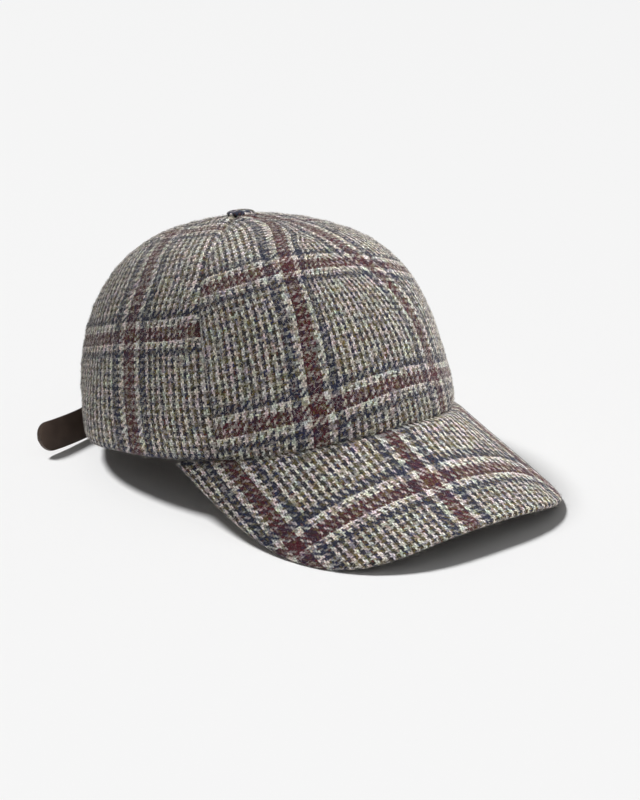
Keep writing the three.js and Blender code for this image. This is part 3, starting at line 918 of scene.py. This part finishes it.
def dark_leather():
    return made_material("dark_leather", leather_material)


def satin_brass():
    return made_material("satin_brass", brass_material)


def amount(name, description, default, **settings):
    return FloatProperty(name=name, description=description, default=default, **settings)


def factor(name, description, default):
    return amount(name, description, default, subtype="FACTOR")


def colour_property(name, description, default):
    return FloatVectorProperty(
        name=name, description=description, subtype="COLOR", size=3, default=default, min=0, max=1
    )


class CapWoolSettings(bpy.types.PropertyGroup):
    """The checked wool."""

    thread: amount("Thread pitch", "From one yarn to the next, in millimetres", 0.875)
    roundness: amount("Roundness", "Height of a yarn's round section", 0.75)
    warp_lead: amount("Warp lead", "How far the warp stands above the weft", 0.18)
    relief: amount("Relief", "How strongly the floats stand up", 0.8)
    sway: amount("Sway", "How far threads stray, in threads", 1.3)
    sway_scale: amount("Sway scale", "Waves of straying threads in a metre", 300.0)
    patch_scale: amount("Patch scale", "Patches of another tint in a metre", 230.0)
    patches: amount("Patches", "How far patches change the tint", 0.55)
    cloud_scale: amount("Cloud scale", "Patches of lightness in a metre", 60.0)
    hair_scale: amount("Hair scale", "Brushed hairs in a metre", 1500.0)
    haze: factor("Haze", "Most that loose hairs cover", 0.14)
    flecks: factor("Flecks", "Strength of the yarn's flecks", 0.55)
    strays: factor("Strays", "How far stray fibres cover a float", 0.6)
    fray: amount("Fray", "How ragged the floats' edges are", 2.4)
    fray_scale: amount("Fray scale", "Ragged tufts in a metre", 1000.0)
    maroon_spread: amount("Maroon spread", "Maroon fibres over other yarns", 0.38)
    navy_spread: amount("Navy spread", "Navy fibres over other yarns", 0.36)
    fibre_contrast: amount("Fibre contrast", "Lightness from fibre to fibre", 2.4)
    yarn_contrast: amount("Yarn contrast", "Lightness from float to float", 0.6)
    cream: colour_property("Cream", "Light yarn", (0.90, 0.85, 0.785))
    oatmeal: colour_property("Oatmeal", "Light yarn where it is mixed", (0.40, 0.375, 0.345))
    charcoal: colour_property("Charcoal", "Dark yarn of the ground", (0.036, 0.033, 0.036))
    ink: colour_property("Ink", "Blue-black yarn of the ground", (0.034, 0.032, 0.052))
    olive: colour_property("Olive", "Olive yarn of the ground", (0.112, 0.097, 0.044))
    brown: colour_property("Brown", "Brown yarn of the ground", (0.094, 0.066, 0.037))
    navy: colour_property("Navy", "Yarn of the dark lines", (0.026, 0.031, 0.066))
    maroon: colour_property("Maroon", "Yarn of the red lines", (0.099, 0.016, 0.025))
    fleck_blue: colour_property("Blue fleck", "Blue wool in the yarn", (0.05, 0.07, 0.22))
    fleck_mustard: colour_property("Mustard fleck", "Mustard wool in the yarn", (0.40, 0.30, 0.09))
    fleck_rust: colour_property("Rust fleck", "Rust wool in the yarn", (0.24, 0.07, 0.04))


class CapLeatherSettings(bpy.types.PropertyGroup):
    """The leather of the strap."""

    base: colour_property("Base", "Leather colour", (0.108, 0.076, 0.060))
    dark: colour_property("Dark", "Leather in its darker places", (0.073, 0.051, 0.041))
    rubbed: colour_property("Rubbed", "Leather where it is worn", (0.160, 0.117, 0.091))
    roughness: factor("Roughness", "Leather gloss", 0.42)


class CapShapeSettings(bpy.types.PropertyGroup):
    """Cloth shapes, in millimetres."""

    wall: amount("Cloth wall", "Thickness of a cloth panel", 1.9)
    seam_depth: amount("Seam depth", "How deep a seam dips", 1.3)
    seam_reach: amount("Seam reach", "How far a seam's dip reaches", 3.4)
    puff: amount("Puff", "How far the cloth swells beside a seam", 0.35)
    dents: amount("Dents", "Height of the crown's soft dents", 0.45)
    board: amount("Peak board", "Thickness of the peak", 3.1)
    nap: amount("Nap", "Loose hairs on a square millimetre of cloth", 0.9)
    cell: amount("Cell", "Size of a panel's mesh cell", 1.9)


def front_chart(azimuth, row, share):
    """The front panel's cloth: its upright lines lean to the button, and threads end at the seams."""
    height = meridian(azimuth, row)
    half = ring_length(row, row * 0.0, front_seam(row))
    on_lines = np.minimum(height, UPRIGHT_LINES[-1, 0])
    right = along(UPRIGHT_LINES[:, 0], UPRIGHT_LINES[:, 1], on_lines)
    left = along(UPRIGHT_LINES[:, 0], UPRIGHT_LINES[:, 2], on_lines)
    thread = bpy.context.scene.cap_wool.thread
    repeat = REPEAT * thread
    left_out = np.interp(height, THREADS_LEFT_OUT[:, 0], THREADS_LEFT_OUT[:, 1]) * thread
    between = repeat - left_out
    across = between * (share - right) / (right - left)
    across = np.where(share > right, (share - right) * half, across)
    across = np.where(share < left, (share - left) * half - between, across)
    low = along(FRONT_LINES[:, 0], FRONT_LINES[:, 1], share)
    high = along(FRONT_LINES[:, 0], FRONT_LINES[:, 2], share)
    upward = repeat * (height - low) / (high - low)
    past_join = share - (left + right) / 2
    return np.stack([across, upward, past_join, left_out], -1)


def side_chart(azimuth, row, share):
    """A side panel's cloth: its level line meets the front seam."""
    seam = front_seam(row)
    behind = ring_length(row, seam, np.abs(azimuth))
    height = meridian(azimuth, row)
    line = along(SIDE_LINE[:, 0], SIDE_LINE[:, 1], np.minimum(height, SIDE_LINE[-1, 0]))
    fall = SIDE_LINE_FALL * (np.abs(azimuth) - seam) / (side_seam(row) - seam)
    level = SIDE_LINE_HEIGHT - fall
    upward = height - level
    upward = np.where(upward < 0, upward * SIDE_HEM_LINE_BELOW / (level - SIDE_HEM_LINE), upward)
    across = behind - line
    across = np.where(across > 0, across / (1 + SIDE_STRETCH), across)
    return np.stack([np.sign(azimuth) * across, upward], -1)


def back_chart(azimuth, row, share):
    """A back panel's cloth: its check runs level with the side seam."""
    across = ring_length(row, side_seam(row), np.abs(azimuth)) - BACK_LINE_BEHIND
    return np.stack([np.sign(azimuth) * across, meridian(azimuth, row) - BACK_LINE_HEIGHT], -1)


def crown_panel(name, low, high, chart, seed):
    """One cloth panel between two seams, with rolled seams, a hem and soft dents."""
    shape = bpy.context.scene.cap_shape

    def locate(across, upward):
        """The azimuth, row and share of the half width, with cells crowded towards the edges."""
        share = np.sin((across * 2 - 1) * SEAM_CROWDING) / math.sin(SEAM_CROWDING)
        even = (1 + share) / 2
        bottom = arch_row(high(0) + (low(0) - high(0)) * even)
        row = bottom + (TOP_ROW - bottom) * upward ** HEM_CROWDING
        azimuth = high(row) + (low(row) - high(row)) * even
        over_arch = np.abs(azimuth) > 180 - ARCH_HALF_ANGLE
        return azimuth, np.where(over_arch, np.maximum(row, arch_row(azimuth)), row), -share

    def place(across, upward):
        azimuth, row, share = locate(across, upward)
        width = np.linalg.norm(crown_point(low(row), row) - crown_point(high(row), row), axis=-1)
        from_seam = (1 - np.abs(share)) / 2 * width
        surface = crown_point(azimuth, row)
        from_hem = np.linalg.norm(surface - crown_point(azimuth, arch_row(azimuth)), axis=-1)
        sunk = groove(shape.seam_depth, shape.seam_reach, from_seam)
        sunk = sunk + groove(HEM_DEPTH, HEM_REACH, from_hem)
        swell = np.exp(-((from_seam - PUFF_FROM_SEAM) / PUFF_REACH) ** 2) * shape.puff
        waver = np.sin(meridian(azimuth, row) * 2 * math.pi / PUFF_WAVE + seed)
        swell = swell * (1 + PUFF_WAVER * waver)
        dents = soft_noise(surface, seed, DENT_LENGTH) * shape.dents
        dents = dents * np.clip(from_seam / DENT_FADE, 0, 1)
        return surface + crown_normal(azimuth, row) * (swell + dents - sunk)[:, None]

    def cloth(across, upward):
        return chart(*locate(across, upward))

    above_rim = 1.0
    base = length_of(crown_point(np.linspace(low(above_rim), high(above_rim), 50), above_rim))
    cells = int(base / shape.cell), int(PANEL_HEIGHT / shape.cell)
    panel = sheet_grid(name + "_cloth", *cells, place, cloth)
    nap(name + "_nap", panel, shape.nap, seed)
    apply_modifier(panel, "SOLIDIFY", thickness=shape.wall * MM, offset=-1, use_even_offset=False)
    round_edges(panel, CLOTH_ROUND, segments=2, over=55)
    return settle(panel, checked_wool(), "wool_check", name)


def peak_height(x, y):
    across = np.abs(x) / PEAK_DROP_AT
    slope = PEAK_SLOPE - PEAK_SLOPE_EASE * across * across
    return PEAK_CREST - PEAK_DROP * across ** PEAK_DROP_POWER - slope * (-y - PEAK_SLOPE_FROM)


def peak_outline(shares):
    """Points of the peak's outline at even steps, from its right end round the front."""
    turn = (0.5 - np.linspace(0, 1, 6001)) * math.pi
    across = np.sign(turn) * np.abs(np.sin(turn)) ** (2 / PEAK_SIDE_POWER)
    forward = np.maximum(np.cos(turn), 0) ** (2 / PEAK_FRONT_POWER)
    points = np.stack([-PEAK_HALF_WIDTH * across, -PEAK_ROOT - PEAK_REACH * forward], -1)
    length = length_up_to(points)
    at = shares * length[-1]
    return np.stack([np.interp(at, length, points[:, 0]), np.interp(at, length, points[:, 1])], -1)


def crown_foot(azimuth, above):
    """The crown just inside its outer face, at a height above its rim."""
    row = along(CROWN_ROWS[:, HEIGHT], np.arange(TOP_ROW + 1.0), above)
    return crown_point(azimuth, row) + crown_normal(azimuth, np.maximum(row, 0)) * -PEAK_SINKS


def peak_middle(columns, inwards):
    """The peak's middle surface at shares round its outline and inwards to the crown."""
    edge = peak_outline(columns)
    azimuth = PEAK_END_AZIMUTH * (1 - 2 * columns)
    board = bpy.context.scene.cap_shape.board
    root = crown_foot(azimuth, rim_value(PEAK_MEETS, azimuth) - board / 2)
    misfit = root[:, 2] - peak_height(root[:, 0], root[:, 1])
    flat = edge + (root[:, :2] - edge) * inwards[:, None]
    height = peak_height(flat[:, 0], flat[:, 1]) + misfit * inwards ** 2
    return np.column_stack([flat, height])


def peak_chart(points):
    """The peak's cloth: along its bend, and down its slope."""
    x = np.linspace(0, PEAK_BEND_TO, 400)
    bend = PEAK_DROP * PEAK_DROP_POWER / PEAK_DROP_AT * (x / PEAK_DROP_AT) ** (PEAK_DROP_POWER - 1)
    length = np.concatenate([[0], np.cumsum(np.hypot(1, (bend[1:] + bend[:-1]) / 2) * np.diff(x))])
    around = np.sign(points[:, 0]) * np.interp(np.abs(points[:, 0]), x, length)
    off_line = around - PEAK_LINE_ACROSS
    across = off_line * (1 + np.interp(points[:, 1], PEAK_CLOSING_AT, PEAK_CLOSING))
    bow = PEAK_LINE_BOW * (np.minimum(off_line, 0) / PEAK_LINE_BOW_AT) ** 2
    back = (points[:, 1] + PEAK_LINE_FORWARD - bow) * math.hypot(1, PEAK_SLOPE)
    return np.stack([across, np.where(back > 0, back / (1 + PEAK_STRETCH), back)], -1)


def build_peak():
    """The peak: one cloth skin over the top, round the edge and under, closed at the crown."""
    shape = bpy.context.scene.cap_shape
    half = shape.board / 2

    def fold(upward):
        """Shares inwards and the turn round the edge, from the root above to the root below."""
        turn = np.clip((upward - 0.5 + PEAK_EDGE_SHARE / 2) / PEAK_EDGE_SHARE, 0, 1) * math.pi
        inward = np.maximum(np.abs(upward - 0.5) - PEAK_EDGE_SHARE / 2, 0) / (0.5 - PEAK_EDGE_SHARE / 2)
        return inward, turn

    def inwards(across, inward):
        return peak_middle(across, inward + PEAK_STEP) - peak_middle(across, inward - PEAK_STEP)

    def place(across, upward):
        inward, turn = fold(upward)
        middle = peak_middle(across, inward)
        further = peak_middle(np.minimum(across + PEAK_STEP, 1), inward)
        nearer = peak_middle(np.maximum(across - PEAK_STEP, 0), inward)
        back = unit(inwards(across, inward))
        normal = unit(np.cross(further - nearer, back))
        edge_in = middle + back * (half * (1 - inward) ** 3)[:, None]
        dents = soft_noise(middle, 31, PEAK_DENT_LENGTH) * PEAK_DENTS
        from_root = np.linalg.norm(peak_middle(across, inward * 0 + 1) - middle, axis=-1)
        crease = PEAK_CREASE_DEPTH * np.exp(-(from_root / PEAK_CREASE_REACH) ** 2)
        lift = (half + (dents - crease) * (turn < 1))[:, None]
        return edge_in + normal * np.cos(turn)[:, None] * lift - back * (np.sin(turn) * half)[:, None]

    def cloth(across, upward):
        inward, turn = fold(upward)
        back = inwards(across, inward)
        back[:, 2] = 0
        wrap = (turn * half * PEAK_EDGE_CLOTH)[:, None]
        return peak_chart(peak_middle(across, inward) - unit(back) * wrap)

    peak = sheet_grid("peak_skin", *PEAK_CELLS, place, cloth)
    bpy.ops.object.mode_set(mode="EDIT")
    bpy.ops.mesh.select_all(action="DESELECT")
    bpy.ops.mesh.select_mode(type="EDGE")
    bpy.ops.mesh.select_non_manifold()
    bpy.ops.mesh.fill_holes(sides=0)
    bpy.ops.object.mode_set(mode="OBJECT")
    nap("peak_nap", peak, shape.nap, 21)
    return settle(peak, checked_wool(), "wool_check", "peak", smooth=60)


def axes_of_strip(tangent):
    """The directions across a leaning strip: up along its width, and out of its face."""
    outward = unit(np.stack([tangent[:, 1], -tangent[:, 0], np.zeros(len(tangent))], -1))
    outward *= np.where(outward[:, 1] < 0, -1, 1)[:, None]
    up = np.array([0, 0, 1.0])
    rise = outward * math.sin(STRAP_LEAN) + up * math.cos(STRAP_LEAN)
    facing = outward * math.cos(STRAP_LEAN) - up * math.sin(STRAP_LEAN)
    return rise, facing


def smooth_line(knots, shares):
    """Points and tangents at shares of a smooth line through knots, and its length."""
    chords = np.linalg.norm(np.diff(knots, axis=0), axis=-1) ** 0.5
    keys = np.concatenate([[0], np.cumsum(chords)])
    fine = np.linspace(0, keys[-1], 2001)
    points = np.stack([along(keys, knots[:, k], fine) for k in range(3)], -1)
    length = length_up_to(points)
    at = np.asarray(shares) * length[-1]
    here = np.stack([np.interp(at, length, points[:, k]) for k in range(3)], -1)
    slopes = np.gradient(points, length, axis=0)
    tangent = np.stack([np.interp(at, length, slopes[:, k]) for k in range(3)], -1)
    return here, unit(tangent), length[-1]


def buckle_weave(x):
    """How far the strap steps out of the buckle's plane."""
    from_centre = np.abs(x - BUCKLE_CENTRE_X)
    end_bar = (BUCKLE_LENGTH - BUCKLE_BAR) / 2
    inside = BUCKLE_WEAVE * np.clip(WEAVE_SQUARENESS * np.cos(from_centre / end_bar * math.pi), -1, 1)
    fade = np.clip((from_centre - end_bar) / (WEAVE_FADE + BUCKLE_BAR), 0, 1)
    outside = -BUCKLE_WEAVE * np.cos(fade * math.pi / 2) ** 2
    return np.where(from_centre <= end_bar, inside, outside)


def leather_strip(name, node, knots, width, fastened):
    """A leather strip with a softly bulging face. Fastened, it runs through the buckle to a round end."""

    def place(across, upward):
        centre, tangent, length = smooth_line(knots, across)
        rise, facing = axes_of_strip(tangent)
        half = width / 2
        if fastened:
            centre = centre + facing * buckle_weave(centre[:, 0])[:, None]
            from_tip = np.clip((1 - across) * length / (width / 2), 0.0, 1)
            half = half * np.sqrt(np.maximum(1 - (1 - from_tip) ** 2, STRAP_TIP_LEAST))
        level = upward * 2 - 1
        waver = soft_noise(centre, 5, STRAP_WAVE)[:, None] * STRAP_WAVER
        bulge = STRAP_BULGE * level[:, None] ** 2
        return centre + rise * (level * half)[:, None] + facing * (waver - bulge)

    length = smooth_line(knots, [0.0])[2]
    strip = sheet_grid(name, int(length / STRAP_CELL), STRAP_CELLS_ACROSS, place)
    apply_modifier(strip, "SOLIDIFY", thickness=STRAP_THICKNESS * MM, offset=0)
    round_edges(strip, LEATHER_ROUND, segments=3, over=50)
    return settle(strip, dark_leather(), "strap_leather", node)


def build_buckle():
    """The slide buckle: a flat frame with a middle bar, rounded all over."""
    end, bar = BUCKLE_LENGTH / 2, BUCKLE_BAR
    top, rail = BUCKLE_HEIGHT / 2, BUCKLE_RAIL
    columns = np.array([-end, bar - end, -bar / 2, bar / 2, end - bar, end])
    rows = np.array([-top, rail - top, top - rail, top])
    line, tangents, _ = smooth_line(STRAP_LINE, np.linspace(0, 1, 800))
    nearest = int(np.argmin(np.abs(line[:, 0] - BUCKLE_CENTRE_X)))
    rise, facing = axes_of_strip(tangents[nearest:nearest + 1])
    sideways = np.cross(rise, facing)

    def place(across, upward):
        x = columns[np.rint(across * 5).astype(int)]
        y = rows[np.rint(upward * 3).astype(int)]
        return line[nearest] + sideways * x[:, None] + rise * y[:, None]

    buckle = sheet_grid("buckle_frame", 5, 3, place)
    areas = np.array([polygon.area for polygon in buckle.data.polygons])
    bpy.ops.object.mode_set(mode="EDIT")
    bpy.ops.mesh.select_mode(type="FACE")
    bpy.ops.mesh.select_all(action="DESELECT")
    bpy.ops.object.mode_set(mode="OBJECT")
    for window in np.argsort(areas)[-2:]:
        buckle.data.polygons[int(window)].select = True
    bpy.ops.object.mode_set(mode="EDIT")
    bpy.ops.mesh.delete(type="FACE")
    bpy.ops.object.mode_set(mode="OBJECT")
    apply_modifier(buckle, "SOLIDIFY", thickness=BUCKLE_THICKNESS * MM, offset=0)
    round_edges(buckle, BUCKLE_ROUND, segments=3, over=40)
    apply_modifier(buckle, "SUBSURF", levels=2, render_levels=2)
    return settle(buckle, satin_brass(), "buckle_brass", "buckle", smooth=60)


def build_button():
    """The covered button: a domed disc whose cloth is gathered underneath."""
    deselect()
    bpy.ops.mesh.primitive_uv_sphere_add(segments=96, ring_count=48, radius=1.0)
    button = bpy.context.object
    button.name = "button_cover"
    x, y, z = vertices_of(button.data).T
    around = np.arctan2(y, x)
    out = np.hypot(x, y)
    gathered = 1 + BUTTON_GATHER_DEPTH * np.sin(around * BUTTON_GATHERS) * out
    width = BUTTON_RADIUS * out ** 0.8 * gathered
    high = np.where(z > 0, BUTTON_DOME * np.abs(z) ** 0.8, -BUTTON_UNDERSIDE * np.abs(z) ** 0.6)
    local = np.stack([width * np.cos(around), width * np.sin(around), high + BUTTON_RAISED], -1)
    local[:, 2] += soft_noise(local, 3, BUTTON_RADIUS) * BUTTON_DENTS
    c, s = math.cos(BUTTON_LEAN), math.sin(BUTTON_LEAN)
    lean = np.array([[1, 0, 0], [0, c, s], [0, -s, c]])
    move_vertices(button.data, (local @ lean.T + crown_top() + ORIGIN) * MM)
    lay_cloth(button.data, local[:, :2] + BUTTON_CLOTH_FROM)
    return settle(button, checked_wool(), "button_wool", "button", smooth=70)


class CAP_OT_crown(bpy.types.Operator):
    """Sews the five cloth panels of the crown"""

    bl_idname = "cap.crown"
    bl_label = "Crown panels"

    def execute(self, context):
        crown_panel("front_panel", on_left(front_seam), front_seam, front_chart, 11)
        crown_panel("side_panel_right", front_seam, side_seam, side_chart, 12)
        crown_panel("side_panel_left", on_left(side_seam), on_left(front_seam), side_chart, 13)
        crown_panel("back_panel_right", side_seam, back_seam, back_chart, 14)
        crown_panel("back_panel_left", on_left(back_seam), on_left(side_seam), back_chart, 15)
        return {"FINISHED"}


class CAP_OT_peak(bpy.types.Operator):
    """Covers the peak's board in cloth"""

    bl_idname = "cap.peak"
    bl_label = "Peak"

    def execute(self, context):
        build_peak()
        return {"FINISHED"}


class CAP_OT_button(bpy.types.Operator):
    """Covers the button"""

    bl_idname = "cap.button"
    bl_label = "Button"

    def execute(self, context):
        build_button()
        return {"FINISHED"}


class CAP_OT_strap(bpy.types.Operator):
    """Cuts the leather strap and its tab"""

    bl_idname = "cap.strap"
    bl_label = "Strap and tab"

    def execute(self, context):
        leather_strip("strap_leather", "strap", STRAP_LINE, STRAP_WIDTH, fastened=True)
        leather_strip("tab_leather", "strap_tab", TAB_LINE, TAB_WIDTH, fastened=False)
        return {"FINISHED"}


class CAP_OT_buckle(bpy.types.Operator):
    """Makes the brass slide buckle"""

    bl_idname = "cap.buckle"
    bl_label = "Buckle"

    def execute(self, context):
        build_buckle()
        return {"FINISHED"}


class CAP_OT_stage(bpy.types.Operator):
    """Lays the pale floor and sets the lights and the camera"""

    bl_idname = "cap.stage"
    bl_label = "Stage"

    def execute(self, context):
        floor = self.floor()
        cap = [obj for obj in context.scene.objects if obj.type == "MESH" and obj is not floor]
        self.backdrop(context)
        self.softbox("overhead", OVERHEAD_POWER, OVERHEAD_FROM, cap)
        self.sun("right_fill", FILL_STRENGTH, FILL_SPREAD, FILL_FROM, cap)
        self.sun("floor_key", FLOOR_KEY_STRENGTH, FLOOR_KEY_SPREAD, FLOOR_KEY_FROM, [floor])
        self.camera(context)
        return {"FINISHED"}

    def floor(self):
        deselect()
        bpy.ops.mesh.primitive_plane_add(size=FLOOR_SIDE)
        floor = bpy.context.object
        floor.name = "floor"
        n = Nodes("pale_floor")
        n.surface(Base_Color=[FLOOR_GREY] * 3, Roughness=0.9, Specular_IOR_Level=0.1)
        floor.data.materials.append(n.material)
        return floor

    def backdrop(self, context):
        """A dim sky whose own face, behind the floor's far edge, is as pale as the floor."""
        world = bpy.data.worlds.new("studio")
        context.scene.world = world
        context.scene.view_settings.view_transform = "Standard"
        world.use_nodes = True
        tree = world.node_tree
        sky = tree.nodes["Background"]
        sky.inputs["Color"].default_value = (1, 1, 1, 1)
        path = tree.nodes.new("ShaderNodeLightPath")
        brightness = tree.nodes.new("ShaderNodeMapRange")
        brightness.inputs["To Min"].default_value = SKY_STRENGTH
        brightness.inputs["To Max"].default_value = BACKDROP_STRENGTH
        tree.links.new(path.outputs["Is Camera Ray"], brightness.inputs["Value"])
        tree.links.new(brightness.outputs["Result"], sky.inputs["Strength"])

    def sun(self, name, strength, spread, towards, lit):
        """A broad distant light from a direction."""
        lamp = self.lamp("SUN", name, strength, towards, lit)
        lamp.data.angle = math.radians(spread)

    def softbox(self, name, power, towards, lit):
        """A round softbox near the cap, so that the crown is lit more than the peak."""
        lamp = self.lamp("AREA", name, power, towards, lit)
        lamp.location = Vector(towards).normalized() * SOFTBOX_DISTANCE
        lamp.data.shape = "DISK"
        lamp.data.size = SOFTBOX_WIDTH

    def lamp(self, kind, name, energy, towards, lit):
        """A light from a direction that only the lit objects receive."""
        bpy.ops.object.light_add(type=kind)
        lamp = bpy.context.object
        lamp.name = name
        lamp.data.energy = energy
        lamp.rotation_euler = Vector(towards).to_track_quat("Z", "Y").to_euler()
        receivers = bpy.data.collections.new(name + "_receivers")
        for obj in lit:
            receivers.objects.link(obj)
        lamp.light_linking.receiver_collection = receivers
        return lamp

    def camera(self, context):
        at = Vector((np.array(CAMERA_AT) + ORIGIN) * MM)
        aim = Vector((np.array(CAMERA_LOOKS_AT) + ORIGIN) * MM)
        bpy.ops.object.camera_add(location=at)
        camera = bpy.context.object
        camera.name = "photo_camera"
        camera.data.lens = CAMERA_LENS
        camera.data.sensor_width = CAMERA_SENSOR
        camera.rotation_euler = (aim - at).to_track_quat("-Z", "Y").to_euler()
        camera.data.clip_start = CAMERA_NEAR
        camera.data.clip_end = CAMERA_FAR
        context.scene.camera = camera


OPERATORS = (CAP_OT_crown, CAP_OT_peak, CAP_OT_button, CAP_OT_strap, CAP_OT_buckle, CAP_OT_stage)


class VIEW3D_PT_cap(bpy.types.Panel):
    """The cap's pieces and their settings"""

    bl_label = "Five-panel cap"
    bl_idname = "VIEW3D_PT_cap"
    bl_space_type = "VIEW_3D"
    bl_region_type = "UI"
    bl_category = "Cap"

    def draw(self, context):
        for operator in OPERATORS:
            self.layout.operator(operator.bl_idname)
        for settings in (context.scene.cap_shape, context.scene.cap_wool, context.scene.cap_leather):
            box = self.layout.box()
            for key in settings.__annotations__:
                box.prop(settings, key)


SETTINGS = {
    "cap_wool": CapWoolSettings,
    "cap_leather": CapLeatherSettings,
    "cap_shape": CapShapeSettings,
}
CLASSES = (*SETTINGS.values(), *OPERATORS, VIEW3D_PT_cap)


def register():
    for cls in CLASSES:
        bpy.utils.register_class(cls)
    for name, cls in SETTINGS.items():
        setattr(bpy.types.Scene, name, PointerProperty(type=cls))


def unregister():
    for name in SETTINGS:
        delattr(bpy.types.Scene, name)
    for cls in reversed(CLASSES):
        bpy.utils.unregister_class(cls)


def main():
    """Builds the whole cap round the frame."""
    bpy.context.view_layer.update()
    register()
    bpy.ops.cap.crown()
    bpy.ops.cap.peak()
    bpy.ops.cap.button()
    bpy.ops.cap.strap()
    bpy.ops.cap.buckle()
    bpy.ops.cap.stage()


if __name__ == "__main__":
    main()
